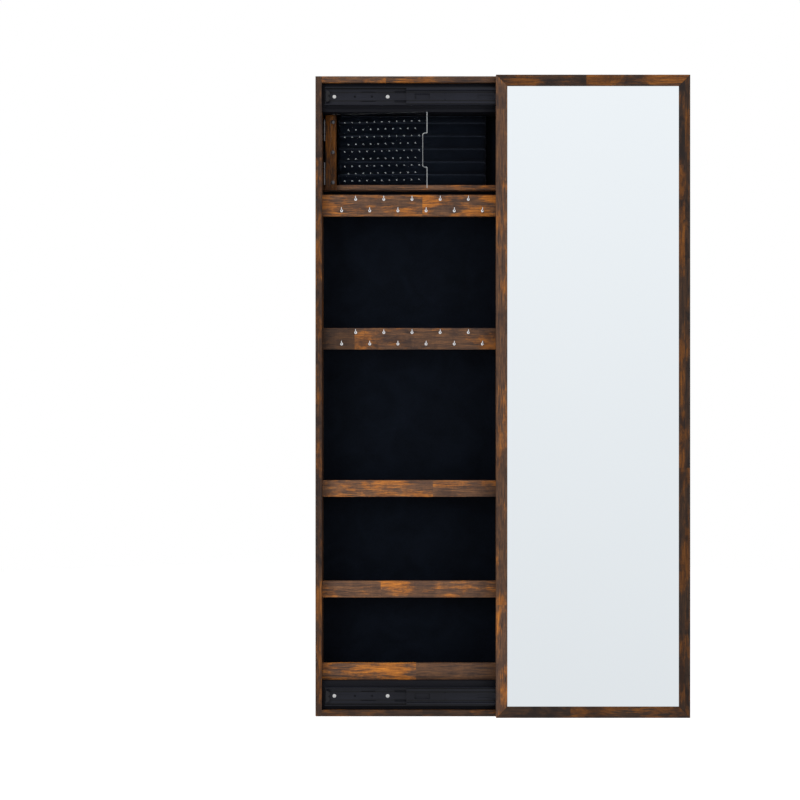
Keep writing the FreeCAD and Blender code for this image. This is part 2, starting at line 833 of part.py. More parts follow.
def outer_section():
    """Channel with its web on the batten, raceways rolled outwards and lips turned in."""
    return [
        ("0", "outer_face - bend"),
        ("bend", "outer_face", "bend"),
        ("outer_ball_depth - bulge_half", "outer_face"),
        ("outer_ball_depth + bulge_half", "outer_face", "bulge"),
        ("outer_depth", "outer_face"),
        ("outer_depth", "outer_face - outer_lip"),
        ("outer_depth - steel", "outer_face - outer_lip"),
        ("outer_depth - steel", "outer_face - steel"),
        ("outer_ball_depth + race_half", "outer_face - steel"),
        ("outer_ball_depth - race_half", "outer_face - steel", "-race"),
        ("steel", "outer_face - steel"),
    ]


def middle_section():
    """Hat section whose flanges carry both rows of balls, one raceway outside and one inside."""
    return [
        ("middle_web_depth", "middle_face - bend"),
        ("middle_web_depth + bend", "middle_face", "bend"),
        ("outer_ball_depth - race_half", "middle_face"),
        ("outer_ball_depth + race_half", "middle_face", "-race"),
        ("inner_ball_depth - bulge_half", "middle_face"),
        ("inner_ball_depth + bulge_half", "middle_face", "bulge"),
        ("middle_depth - steel", "middle_face"),
        ("middle_depth - steel", "middle_lip_reach"),
        ("middle_depth", "middle_lip_reach"),
        ("middle_depth", "middle_face - steel"),
        ("inner_ball_depth + race_half", "middle_face - steel"),
        ("inner_ball_depth - race_half", "middle_face - steel", "-race"),
        ("outer_ball_depth + bulge_half", "middle_face - steel"),
        ("outer_ball_depth - bulge_half", "middle_face - steel", "bulge"),
        ("middle_web_depth + steel", "middle_face - steel"),
    ]


def inner_section():
    """Channel with its web on the door, raceways pressed into its flanges from outside."""
    return [
        ("slide_thickness", "inner_face - bend"),
        ("slide_thickness - bend", "inner_face", "-bend"),
        ("inner_ball_depth + race_half", "inner_face"),
        ("inner_ball_depth - race_half", "inner_face", "race"),
        ("inner_tip_depth", "inner_face"),
        ("inner_tip_depth", "inner_face - steel"),
        ("inner_ball_depth - bulge_half", "inner_face - steel"),
        ("inner_ball_depth + bulge_half", "inner_face - steel", "-bulge"),
        ("slide_thickness - steel", "inner_face - steel"),
    ]


def cage_section(web, ball, tip):
    """Thin channel whose flanges stand in the plane of the ball centres."""
    return [
        (web, f"{ball} + cage_steel / 2"),
        (tip, f"{ball} + cage_steel / 2"),
        (tip, f"{ball} - cage_steel / 2"),
        (f"{web} + cage_steel", f"{ball} - cage_steel / 2"),
    ]


# The turn that sets an octagon on one of its flats.
HALF_OCTANT = 22.5


def steel_ball():
    """A ball with eighteen facets: what three eight-sided prisms, one along each axis, share."""
    flat = f"ball_radius * cos({HALF_OCTANT})"
    prisms = []
    for letter in "xyz":
        shape = prism(f"ball_{letter}", 8, "ball_radius", f"2 * {flat}", f"+{letter}", HALF_OCTANT)
        shape.setExpression(f"Placement.Base.{letter}", formula(f"-{flat}"))
        prisms.append(shape)
    ball = doc.addObject("Part::MultiCommon", "steel_ball")
    ball.Shapes = prisms
    return ball


def ball_pitch():
    return f"((cage_length - 2 * cage_margin) / {BALLS_PER_ROW - 1})"


def caged_balls(prefix, web, ball, depth, start, level, ball_shape):
    """A cage with eight-sided pockets in both flanges, and the balls that run in them."""
    section = cage_section(web, ball, f"{depth} + race + cage_rim")
    cage = member(f"{prefix}_cage", section, "cage_length", start, level)
    pocket = sketch_on(cage, "pocket", "XY_Plane")
    polygon(pocket, "cage_margin", f"-({depth})", "race", 8, HALF_OCTANT)
    repeat(cage, cut_through(cage, pocket), "X_Axis", ball_pitch(), BALLS_PER_ROW)
    columns = [f"{start} + cage_margin + {step} * {ball_pitch()}" for step in range(BALLS_PER_ROW)]
    rows = (f"{level} + {ball}", f"{level} - {ball}")
    spots = [(x, f"batten_front - ({depth})", z) for x in columns for z in rows]
    group(f"{prefix}_balls", ball_shape, spots)


def outer_channel(name, level):
    channel = member(name, outer_section(), "slide_length", "slide_left", level)
    holes = sketch_on(channel, "holes", "XZ_Plane")
    for distance in (*OUTER_SCREWS, "spare_hole", "second_spare_hole"):
        ring(holes, distance, "0", "screw_hole")
    for row in ("slot_side", "-slot_side"):
        rectangle(holes, "slot_start", f"{row} - slot_half", "slot_end", f"{row} + slot_half")
        rectangle(holes, "lance_start", f"{row} - lance_half", "lance_end", f"{row} + lance_half")
    cut_blind(channel, holes, "middle_web_depth")


def middle_channel(name, level):
    start = "slide_left + member_setback + middle_travel"
    channel = member(name, middle_section(), "member_length", start, level)
    windows = sketch_on(channel, "windows", "XZ_Plane")
    far_start, far_end = "member_length - window_end", "member_length - window_start"
    rectangle(windows, "window_start", "-window_half", "window_end", "window_half")
    rectangle(windows, "middle_slot_start", "-middle_slot_half", "middle_slot_end", "middle_slot_half")
    rectangle(windows, far_start, "-window_half", far_end, "window_half")
    cut_blind(channel, windows, "outer_ball_depth")


def inner_channel(name, level):
    start = "slide_left + member_setback + door_travel"
    channel = member(name, inner_section(), "member_length", start, level)
    holes = sketch_on(channel, "holes", "XZ_Plane")
    for distance in DOOR_SCREWS:
        ring(holes, distance, "0", "screw_hole")
    rectangle(holes, "inner_slot_start", "-slot_half", "inner_slot_end", "slot_half")
    cut_through(channel, holes)


def bumper(name, level):
    """Rubber stop with two lobes at the closed end of the outer channel."""
    body = new_body(name)
    shape = sketch_on(body, "shape", "XZ_Plane", "steel")
    half = "bumper_height / 2"
    face = "bumper_start + bumper_body"
    outline(
        shape,
        [
            ("bumper_start", f"-{half}"),
            (face, f"-{half}"),
            (face, "0", "bumper_lobe"),
            (face, half, "bumper_lobe"),
            ("bumper_start", half),
        ],
    )
    pad(body, shape, "bumper_depth - steel")
    place(body, "slide_left", "batten_front", level)


def slide(side, level, ball_shape):
    """One three-part slide, its batten and its screws; side is top or bottom."""
    bay = {"top": ("bay_floor_top", "ceiling"), "bottom": ("floor", "lower_shelf")}[side]
    places = [f"slide_left + {distance}" for distance in OUTER_SCREWS]
    drilled_plank(
        f"{side}_slide_batten",
        ("inner_left", "inner_right"),
        ("batten_front", "batten_front + batten_thickness"),
        bay,
        WEB_DRILL,
        [(x, "batten_front", level) for x in places],
    )
    outer_channel(f"{side}_slide_outer", level)
    middle_channel(f"{side}_slide_middle", level)
    inner_channel(f"{side}_slide_inner", level)
    bumper(f"{side}_slide_bumper", level)
    group(f"{side}_slide_screws", SCREW, [(x, "batten_front - steel", level) for x in places])
    rows = (
        ("outer", "outer_cage_depth", "outer_ball", "outer_ball_depth"),
        ("inner", "inner_cage_depth", "inner_ball", "inner_ball_depth"),
    )
    for row, web, ball, depth in rows:
        start = f"slide_left + {row}_cage_start"
        caged_balls(f"{side}_slide_{row}", web, ball, depth, start, level, ball_shape)


# ---------------------------------------------------------------- mirror door
def frame_bar(name, length, x, z, angle):
    """One side of the mitred frame: rebated behind for the glass, outer edge down before turning."""
    bar = new_body(name)
    section = sketch_on(bar, "section", "YZ_Plane")
    outline(
        section,
        [
            ("frame_edge", "0"),
            ("door_thickness", "0"),
            ("door_thickness", "rebate"),
            ("frame_lip_thickness", "rebate"),
            ("frame_lip_thickness", "frame_face"),
            ("frame_edge", "frame_face"),
            ("0", "frame_face - frame_edge"),
            ("0", "frame_edge"),
        ],
    )
    pad(bar, section, length)
    mitres = sketch_on(bar, "mitres", "XZ_Plane")
    over = "frame_face + mitre_past"
    beyond = f"{length} + frame_face"
    outline(mitres, [("0", "0"), (over, over), ("-frame_face", over), ("-frame_face", "0")])
    outline(mitres, [(length, "0"), (beyond, "0"), (beyond, over), (f"{length} - ({over})", over)])
    cut_through(bar, mitres)
    place(bar, x, "door_front", z, (0, 1, 0), angle)


def mirror_door():
    frame_bar("frame_bottom_rail", "width", "door_left", "bottom", "0")
    frame_bar("frame_top_rail", "width", "door_right", "top", "180")
    frame_bar("frame_left_stile", "height", "door_left", "top", "90")
    frame_bar("frame_right_stile", "height", "door_right", "bottom", "-90")
    glass_back = "door_front + frame_lip_thickness + glass_thickness"
    gap = "rebate + glass_play"
    plank(
        "mirror_glass",
        (f"door_left + {gap}", f"door_right - ({gap})"),
        ("door_front + frame_lip_thickness", glass_back),
        (f"bottom + {gap}", f"top - ({gap})"),
    )
    start = "slide_left + member_setback + door_travel"
    columns = [f"{start} + {distance}" for distance in DOOR_SCREWS]
    spots = [(x, z) for z in ("top_slide", "bottom_slide") for x in columns]
    drilled_plank(
        "mirror_backing",
        ("door_left + rebate", "door_right - (rebate)"),
        (glass_back, "door_back"),
        ("bottom + rebate", "top - (rebate)"),
        WEB_DRILL,
        [(x, "door_back", z, *TOWARDS_FRONT) for x, z in spots],
    )
    group("mirror_door_screws", SCREW, [(x, "door_back + steel", z, *TOWARDS_FRONT) for x, z in spots])


# ---------------------------------------------------------------- assembly
PARTS = [
    "side_panel_left",
    "side_panel_right",
    "top_panel",
    "bottom_panel",
    "back_panel",
    "back_lining",
    "slide_bay_floor",
    "ring_shelf",
    "ring_cushion",
    "hanger_left",
    "hanger_right",
    "hanger_screws",
    *[f"{kind}_{name}" for name in ("lower", "middle", "upper") for kind in ("shelf", "lip")],
    *[f"{kind}_{name}" for name in ("lower", "upper") for kind in ("hook_rail", "hooks")],
    "earring_stile",
    "earring_board",
    "earring_board_screws",
    "earring_hinge_wall_leaves",
    "earring_hinge_door_leaves",
    "earring_hinge_pins",
    *[
        f"{side}_slide_{piece}"
        for side in ("top", "bottom")
        for piece in (
            "batten",
            "outer",
            "middle",
            "inner",
            "outer_cage",
            "outer_balls",
            "inner_cage",
            "inner_balls",
            "bumper",
            "screws",
        )
    ],
    "frame_top_rail",
    "frame_bottom_rail",
    "frame_left_stile",
    "frame_right_stile",
    "mirror_glass",
    "mirror_backing",
    "mirror_door_screws",
]


def check_and_write():
    """Stop on any failed object, then write each part as its own file."""
    doc.recompute()
    for thing in doc.Objects:
        if {"Invalid", "Error"} & set(thing.State):
            raise RuntimeError(f"{thing.Label} failed: {thing.State}")
    os.makedirs("parts", exist_ok=True)
    for name in PARTS:
        part = doc.getObject(name)
        if part.Shape.isNull() or not part.Shape.isValid():
            raise RuntimeError(f"{name} has no valid shape")
        part.Label = name
        part.Shape.exportStep(f"parts/{name}.step")


carcass()
hangers()
shelves()
rails()
ring_cushion()
earring_board()
hinges()
BALL = steel_ball()
slide("top", "top_slide", BALL)
slide("bottom", "bottom_slide", BALL)
mirror_door()
check_and_write()
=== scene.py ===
import json
import random
from math import cos, pi, radians, sin, sqrt, tau

import bmesh
import bpy
from mathutils import Matrix, Vector

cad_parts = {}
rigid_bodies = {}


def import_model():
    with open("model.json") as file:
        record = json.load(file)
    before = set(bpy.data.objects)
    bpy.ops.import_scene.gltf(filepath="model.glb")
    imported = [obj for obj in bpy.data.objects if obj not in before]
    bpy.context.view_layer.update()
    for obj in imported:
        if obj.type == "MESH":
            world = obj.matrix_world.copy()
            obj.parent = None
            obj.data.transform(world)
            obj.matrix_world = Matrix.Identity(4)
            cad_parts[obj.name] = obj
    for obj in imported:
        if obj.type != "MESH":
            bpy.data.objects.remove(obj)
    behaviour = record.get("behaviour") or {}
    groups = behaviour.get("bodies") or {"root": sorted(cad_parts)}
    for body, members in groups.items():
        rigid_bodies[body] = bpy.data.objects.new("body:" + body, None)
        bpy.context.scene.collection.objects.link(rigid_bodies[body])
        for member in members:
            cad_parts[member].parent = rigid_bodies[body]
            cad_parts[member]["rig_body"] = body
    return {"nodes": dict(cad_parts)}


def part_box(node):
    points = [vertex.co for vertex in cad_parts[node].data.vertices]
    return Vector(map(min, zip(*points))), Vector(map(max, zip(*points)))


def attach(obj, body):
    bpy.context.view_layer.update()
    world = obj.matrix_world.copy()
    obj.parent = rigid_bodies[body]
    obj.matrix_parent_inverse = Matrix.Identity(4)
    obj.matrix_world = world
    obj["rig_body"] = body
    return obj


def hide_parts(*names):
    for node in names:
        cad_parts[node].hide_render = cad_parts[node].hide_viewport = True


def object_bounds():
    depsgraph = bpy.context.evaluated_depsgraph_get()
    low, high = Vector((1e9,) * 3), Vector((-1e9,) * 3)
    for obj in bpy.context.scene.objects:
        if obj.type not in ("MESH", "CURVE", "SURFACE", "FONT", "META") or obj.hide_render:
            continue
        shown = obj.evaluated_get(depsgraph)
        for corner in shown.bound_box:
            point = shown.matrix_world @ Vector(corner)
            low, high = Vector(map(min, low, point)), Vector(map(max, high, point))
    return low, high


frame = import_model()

cad_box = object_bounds()
scene = bpy.context.scene
scene.view_settings.view_transform = "Standard"
MM = 0.001


# ------------------------------------------------------------------ camera
# The photograph looks straight at the open cabinet from a little left of its middle, at half its
# height. The frame is 800 px wide and 1.905 mm of the cabinet's front edge fall on each pixel.
CAMERA_AT = Vector((-23 * MM, -3390 * MM, -491.5 * MM))
lens = bpy.data.cameras.new("photograph_lens")
lens.lens = 78.0
lens.sensor_width = 36.0
lens.clip_end = 60.0
camera = bpy.data.objects.new("photograph_camera", lens)
camera.location = CAMERA_AT
camera.rotation_euler = (radians(90), 0, 0)
scene.collection.objects.link(camera)
scene.camera = camera


# ------------------------------------------------------------------ floor, world and lamps
# A white studio: a pale floor some way below the hung cabinet, a white surround, and wide soft
# lamps from both sides at the front. The surround also is what the mirror and the metal show.
def paint(red, green, blue):
    """A colour picked in ordinary 0 to 255 steps, as the shader wants it."""
    steps = [step / 255 for step in (red, green, blue)]
    return (*[s / 12.92 if s <= 0.04045 else ((s + 0.055) / 1.055) ** 2.4 for s in steps], 1.0)


def add(tree, kind, feeds=None, **settings):
    """A shader node with its settings made and its inputs filled or wired."""
    node = tree.nodes.new(kind)
    for name, value in settings.items():
        setattr(node, name, value)
    for name, value in (feeds or {}).items():
        if isinstance(value, bpy.types.NodeSocket):
            tree.links.new(value, node.inputs[name])
        else:
            node.inputs[name].default_value = value
    return node


def new_finish(name, **constants):
    """A material with its main shader; constants go on the shader's own sockets."""
    finish = bpy.data.materials.new(name)
    finish.use_nodes = True
    shader = finish.node_tree.nodes["Principled BSDF"]
    for socket, value in constants.items():
        shader.inputs[socket.replace("_", " ")].default_value = value
    return finish, finish.node_tree, shader


def place_on(tree):
    """The place on the piece itself, which moves with it."""
    return add(tree, "ShaderNodeTexCoord").outputs["Object"]


def noise(tree, where, scale, detail, **more):
    """A field of soft chance values from 0 to 1."""
    feeds = {"Vector": where, "Scale": scale, "Detail": detail, **more}
    return add(tree, "ShaderNodeTexNoise", feeds).outputs["Fac"]


def reckon(tree, operation, *terms):
    """One sum of the shader tree."""
    return add(tree, "ShaderNodeMath", dict(enumerate(terms)), operation=operation).outputs[0]


def spread(tree, value, low, high, to_low=0.0, to_high=1.0, kind="LINEAR"):
    """The value, stretched from one range to another and held inside it."""
    feeds = {"Value": value, "From Min": low, "From Max": high, "To Min": to_low, "To Max": to_high}
    return add(tree, "ShaderNodeMapRange", feeds, interpolation_type=kind).outputs[0]


def blend(tree, amount, low, high, mode="MIX"):
    """A colour between two others."""
    feeds = {0: amount, 6: low, 7: high}
    return add(tree, "ShaderNodeMix", feeds, data_type="RGBA", blend_type=mode).outputs[2]


def blend_values(tree, amount, low, high):
    """A value between two others."""
    return add(tree, "ShaderNodeMix", {0: amount, 2: low, 3: high}, data_type="FLOAT").outputs[0]


def wire(tree, shader, **wires):
    """Lead colours and values to the shader's inputs of the given names."""
    for name, socket in wires.items():
        tree.links.new(socket, shader.inputs[name.replace("_", " ")])


FLOOR_DROP = 350 * MM
FLOOR_RADIUS = 4.4
FLOOR_MIDDLE = 2.4
FLOOR_GLOW = 0.62
SURROUND_LIGHT = 0.42
floor_level = cad_box[0].z - FLOOR_DROP
floor_mesh = bpy.data.meshes.new("studio_floor")
turns = [tau * step / 64 for step in range(64)]
rim = [
    (FLOOR_RADIUS * cos(turn), FLOOR_MIDDLE + FLOOR_RADIUS * sin(turn), floor_level)
    for turn in turns
]
floor_mesh.from_pydata(rim, [], [list(range(64))])
floor = bpy.data.objects.new("studio_floor", floor_mesh)
floor.visible_glossy = False
scene.collection.objects.link(floor)

floor_finish, tree, shader = new_finish("pale_studio_floor", Roughness=0.9)
sweep = noise(tree, place_on(tree), 1.5, 2.0)
wire(tree, shader, Base_Color=blend(tree, sweep, (0.86, 0.86, 0.86, 1), (0.9, 0.9, 0.9, 1)))
seen = add(tree, "ShaderNodeLightPath").outputs
lift = reckon(tree, "MULTIPLY", seen["Is Camera Ray"], FLOOR_GLOW)
glow = add(tree, "ShaderNodeEmission", {"Color": (1, 1, 1, 1), "Strength": lift})
both = add(tree, "ShaderNodeAddShader", {0: shader.outputs[0], 1: glow.outputs[0]})
tree.links.new(both.outputs[0], tree.nodes["Material Output"].inputs["Surface"])
floor_mesh.materials.append(floor_finish)

# Lamps do the lighting, with a little from all round. The camera sees pure white, and mirror and
# metal see a white that is a little greyer below.
world = bpy.data.worlds.new("white_studio")
world.use_nodes = True
scene.world = world
tree = world.node_tree
seen = add(tree, "ShaderNodeLightPath").outputs
direct = reckon(tree, "MAXIMUM", seen["Is Glossy Ray"], seen["Is Transmission Ray"])
lamp_level = blend_values(tree, seen["Is Camera Ray"], SURROUND_LIGHT, 1.0)
way = add(tree, "ShaderNodeSeparateXYZ", {0: add(tree, "ShaderNodeTexCoord").outputs["Generated"]})
mirrored_level = spread(tree, way.outputs[2], -0.2, 0.2, 0.85, 0.99)
surround = tree.nodes["Background"]
surround.inputs["Color"].default_value = (1, 1, 1, 1)
wire(tree, surround, Strength=blend_values(tree, direct, lamp_level, mirrored_level))


def soft_lamp(name, spot, aim, width, height, watts):
    """A wide lamp that neither the mirror nor the clear sheet shows."""
    lamp = bpy.data.lights.new(name, "AREA")
    lamp.shape = "RECTANGLE"
    lamp.size = width
    lamp.size_y = height
    lamp.energy = watts
    thing = bpy.data.objects.new(name, lamp)
    thing.location = spot
    thing.rotation_euler = (Vector(aim) - Vector(spot)).to_track_quat("-Z", "Y").to_euler()
    thing.visible_glossy = False
    thing.visible_transmission = False
    scene.collection.objects.link(thing)


soft_lamp("left_soft_box", (-2.4, -3.0, 0.5), (0.1, 0, -0.5), 1.8, 2.4, 62)
soft_lamp("right_soft_box", (2.6, -2.6, 0.3), (0.1, 0, -0.5), 1.6, 2.4, 36)
soft_lamp("top_soft_box", (0.1, -1.2, 2.2), (0.1, 0, -0.5), 2.2, 1.6, 22)


# ------------------------------------------------------------------ carcass boards
# Particle board wrapped in a rustic brown wood-print foil, butted and screwed at the corners.
# Every board's edges are eased a little where the foil turns over them.
PLANK_WIDTH = 0.112
PLANK_LENGTH = 0.47


def foil_print():
    """The printed foil: brown planks with orange and near-black patches, fibres and saw marks."""
    tree = bpy.data.node_groups.new("rustic_foil_print", "ShaderNodeTree")
    face = tree.interface
    face.new_socket("Along Grain", in_out="INPUT", socket_type="NodeSocketVector")
    for name in ("Warmth", "Darkness", "Brightness", "Joint", "Warmth Beyond", "Brightness Beyond"):
        face.new_socket(name, in_out="INPUT", socket_type="NodeSocketFloat")
    face.new_socket("Color", in_out="OUTPUT", socket_type="NodeSocketColor")
    face.new_socket("Roughness", in_out="OUTPUT", socket_type="NodeSocketFloat")
    face.new_socket("Height", in_out="OUTPUT", socket_type="NodeSocketFloat")
    given = add(tree, "NodeGroupInput")
    result = add(tree, "NodeGroupOutput")

    def math(operation, *terms):
        return reckon(tree, operation, *terms)

    def on_vector(operation, first, second):
        feeds = {0: first, 1: second}
        return add(tree, "ShaderNodeVectorMath", feeds, operation=operation).outputs[0]

    def between(value, low, high):
        return spread(tree, value, low, high, kind="SMOOTHSTEP")

    # planks of the print, each with its own tone and its own stretch of grain
    parts = add(tree, "ShaderNodeSeparateXYZ", {0: given.outputs["Along Grain"]})
    across = math("ADD", parts.outputs[1], parts.outputs[2])
    row = math("FLOOR", math("DIVIDE", across, PLANK_WIDTH))
    beyond = math("GREATER_THAN", parts.outputs[0], given.outputs["Joint"])
    run = math("DIVIDE", math("SUBTRACT", parts.outputs[0], given.outputs["Joint"]), PLANK_LENGTH)
    plank = add(tree, "ShaderNodeCombineXYZ", {0: row, 1: math("FLOOR", run), 2: 3.0})
    warmth = blend_values(tree, beyond, given.outputs["Warmth"], given.outputs["Warmth Beyond"])
    bright, bright_beyond = given.outputs["Brightness"], given.outputs["Brightness Beyond"]
    level = blend_values(tree, beyond, bright, bright_beyond)
    feeds = {"Vector": plank.outputs[0]}
    chance = add(tree, "ShaderNodeTexWhiteNoise", feeds, noise_dimensions="3D")
    jump = on_vector("MULTIPLY", chance.outputs["Color"], (9.0, 9.0, 9.0))

    def field(scale, size, detail, rough, twist=0.0):
        where = on_vector("ADD", on_vector("MULTIPLY", given.outputs["Along Grain"], scale), jump)
        return noise(tree, where, size, detail, Roughness=rough, Distortion=twist)

    # long fibres in two widths, and short dashes where the saw has torn them
    fine = field((1.0, 26.0, 26.0), 30.0, 6.0, 0.72)
    broad = field((1.0, 13.0, 13.0), 16.0, 5.0, 0.66, 0.3)
    dashes = field((1.0, 7.0, 7.0), 150.0, 4.0, 0.6)
    across_grain = on_vector("MULTIPLY", given.outputs["Along Grain"], (22.0, 2.0, 2.0))
    saw = noise(tree, across_grain, 24.0, 3.0)
    coarse = math("MULTIPLY_ADD", broad, 0.3, math("MULTIPLY", dashes, 0.15))
    grain = math("ADD", math("MULTIPLY", fine, 0.55), coarse)

    # stains with torn edges: warm ones and nearly black ones
    tear = math("MULTIPLY_ADD", grain, 0.5, -0.25)
    warm_field = math("ADD", field((1.0, 2.6, 2.6), 10.0, 7.0, 0.66, 0.2), tear)
    dark_field = math("ADD", field((1.3, 2.2, 2.2), 13.0, 7.0, 0.7, 0.35), tear)
    warm_field = math("ADD", warm_field, math("MULTIPLY_ADD", warmth, 0.16, -0.1))
    warm_strength = math("MINIMUM", math("MULTIPLY_ADD", warmth, 0.5, 0.5), 1.0)
    warm_patch = math("MULTIPLY", between(warm_field, 0.49, 0.63), warm_strength)
    dark_patch = math("MULTIPLY", between(dark_field, 0.5, 0.62), given.outputs["Darkness"])
    pits = math("MULTIPLY", between(dashes, 0.6, 0.7), between(dark_field, 0.44, 0.56))

    # each stain runs through three colours of the foil, from the dark fibres to the light ones
    def stops(low, middle, high):
        ramp = add(tree, "ShaderNodeValToRGB", {"Fac": grain})
        ramp.color_ramp.elements[0].position, ramp.color_ramp.elements[0].color = low
        ramp.color_ramp.elements[1].position, ramp.color_ramp.elements[1].color = high
        ramp.color_ramp.elements.new(middle[0]).color = middle[1]
        return ramp.outputs["Color"]

    brown = stops((0.4, paint(52, 42, 39)), (0.5, paint(92, 67, 52)), (0.61, paint(134, 94, 62)))
    amber = stops((0.38, paint(92, 56, 32)), (0.5, paint(160, 98, 44)), (0.6, paint(214, 134, 52)))
    body = blend(tree, warm_patch, brown, amber)
    body = blend(tree, math("MULTIPLY", dark_patch, 0.85), body, paint(41, 37, 39))
    body = blend(tree, math("MULTIPLY", pits, 0.6), body, paint(24, 20, 20))
    marks = math("MULTIPLY_ADD", saw, 0.3, 0.85)
    tone = math("MULTIPLY_ADD", chance.outputs["Value"], 0.34, 0.83)
    shade = math("MULTIPLY", marks, math("MULTIPLY", tone, level))
    grey = add(tree, "ShaderNodeCombineColor", {0: shade, 1: shade, 2: shade}).outputs[0]
    rough = math("MULTIPLY_ADD", grain, 0.25, math("MULTIPLY_ADD", dark_patch, 0.1, 0.34))
    height = math("MULTIPLY_ADD", pits, -0.5, grain)
    colour = blend(tree, 1.0, body, grey, "MULTIPLY")
    wire(tree, result, Color=colour, Roughness=rough, Height=height)
    return tree


FOIL_PRINT = foil_print()
TURN_TO_GRAIN = {"x": (0, 0, 0), "z": (0, 90, 0)}


def embossed(tree, height, strength, depth):
    """Fine relief pressed into a surface."""
    feeds = {"Height": height, "Strength": strength, "Distance": depth}
    return add(tree, "ShaderNodeBump", feeds).outputs[0]


def foil_finish(name, grain, shift, tones, joint=9.0, beyond=None):
    """The foil laid with its grain along an axis, from its own place on the printed roll.

    The tones are warmth, darkness and brightness. A joint of the print lies across the piece
    where it is given, and warmth and brightness change beyond it.
    """
    finish, tree, shader = new_finish(name, Specular_IOR_Level=0.2)
    turn = [radians(angle) for angle in TURN_TO_GRAIN[grain]]
    feeds = {"Vector": place_on(tree), "Rotation": turn, "Location": shift}
    laid = add(tree, "ShaderNodeMapping", feeds)
    printed = add(tree, "ShaderNodeGroup", node_tree=FOIL_PRINT)
    tree.links.new(laid.outputs[0], printed.inputs["Along Grain"])
    warmth, darkness, brightness = tones
    warmth_beyond, brightness_beyond = beyond or (warmth, brightness)
    for socket, value in (
        ("Warmth", warmth),
        ("Darkness", darkness),
        ("Brightness", brightness),
        ("Joint", shift[0] + joint),
        ("Warmth Beyond", warmth_beyond),
        ("Brightness Beyond", brightness_beyond),
    ):
        printed.inputs[socket].default_value = value
    foil = printed.outputs
    relief = embossed(tree, foil["Height"], 0.35, 0.15 * MM)
    wire(tree, shader, Base_Color=foil["Color"], Roughness=foil["Roughness"], Normal=relief)
    return finish


def dressed(node, finish):
    """A solid of the frame keeps its shape and takes a finish."""
    mesh = frame["nodes"][node].data
    mesh.materials.clear()
    mesh.materials.append(finish)


def show(mesh, name, body, finish, replaced=()):
    """Hang a finished mesh on its body, in place of the solids that it stands for."""
    piece = bpy.data.objects.new(name, mesh)
    scene.collection.objects.link(piece)
    mesh.materials.clear()
    mesh.materials.append(finish)
    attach(piece, body)
    if replaced:
        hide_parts(*replaced)
    return piece


def eased(node, name, finish, radius=0.6 * MM, least=40, slack=0.0):
    """A solid of the frame with its sharp edges rounded over, drawn smaller all over by a slack."""
    form = bmesh.new()
    form.from_mesh(frame["nodes"][node].data)
    bmesh.ops.remove_doubles(form, verts=form.verts, dist=1e-6)
    bmesh.ops.dissolve_limit(form, angle_limit=radians(1), verts=form.verts, edges=form.edges)
    folds = [edge for edge in form.edges if len(edge.link_faces) == 2]
    sharp = [edge for edge in folds if edge.calc_face_angle() > radians(least)]
    bmesh.ops.bevel(
        form, geom=sharp, offset=radius, segments=2, profile=0.5, affect="EDGES", clamp_overlap=True
    )
    form.normal_update()
    for vertex in form.verts:
        vertex.co -= vertex.normal * slack
    mesh = bpy.data.meshes.new(name)
    form.to_mesh(mesh)
    form.free()
    mesh.shade_smooth()
    mesh.set_sharp_from_angle(angle=radians(30))
    return show(mesh, name, frame["nodes"][node]["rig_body"], finish, [node])


CARCASS = (
    (
        "side_panel_left", "left_side_board", "z",
        (0.3, 0.02, 1.1), (0.5, 0.8, 0.47), -0.5, (0.75, 0.52),
    ),
    (
        "side_panel_right", "right_side_board", "z",
        (1.7, 0.5, 2.3), (0.5, 0.85, 0.6), -0.55, (0.85, 0.7),
    ),
    (
        "top_panel", "top_board", "x",
        (2.35, 0.71, 0.4), (0.55, 0.5, 0.74), -0.05, (0.8, 0.78),
    ),
    (
        "bottom_panel", "bottom_board", "x",
        (4.1, 1.3, 0.9), (0.4, 0.7, 0.42), 0.02, (0.55, 0.42),
    ),
)
for node, name, grain, shift, tones, joint, beyond in CARCASS:
    finish = foil_finish(f"foil_on_{name}", grain, shift, tones, joint, beyond)
    eased(node, name, finish)

SHELF_FINISH = foil_finish("foil_on_shelves", "x", (3.3, 2.0, 0.2), (0.5, 0.6, 0.95))
for node in ("shelf_lower", "shelf_middle", "shelf_upper"):
    eased(node, f"{node}_board", SHELF_FINISH)


# ------------------------------------------------------------------ back, battens and bay floor
# Thin fibreboard closes the back. The bays of the slides are black inside: black-foiled battens
# carry the slides, and a black board parts the top bay from the room for rings.
def fibreboard_finish(name, low, high):
    """Pressed wood fibre, with the fine strands showing."""
    finish, tree, shader = new_finish(name, Roughness=0.8)
    place = place_on(tree)
    strands = noise(tree, place, 900.0, 4.0, Roughness=0.7)
    faint = reckon(tree, "MULTIPLY", noise(tree, place, 14.0, 3.0), 0.3)
    amount = spread(tree, reckon(tree, "MULTIPLY_ADD", strands, 0.7, faint), 0.25, 0.75)
    relief = embossed(tree, strands, 0.3, 0.1 * MM)
    wire(tree, shader, Base_Color=blend(tree, amount, low, high), Normal=relief)
    return finish


BACK_FIBRE = fibreboard_finish("back_fibreboard", paint(70, 52, 40), paint(112, 86, 64))
eased("back_panel", "back_board", BACK_FIBRE, 0.3 * MM)


def drawn_out(tree, across):
    """The place on the piece, squeezed across its length so that marks run along it."""
    feeds = {"Vector": place_on(tree), "Scale": (1.0, across, across)}
    return add(tree, "ShaderNodeMapping", feeds).outputs[0]


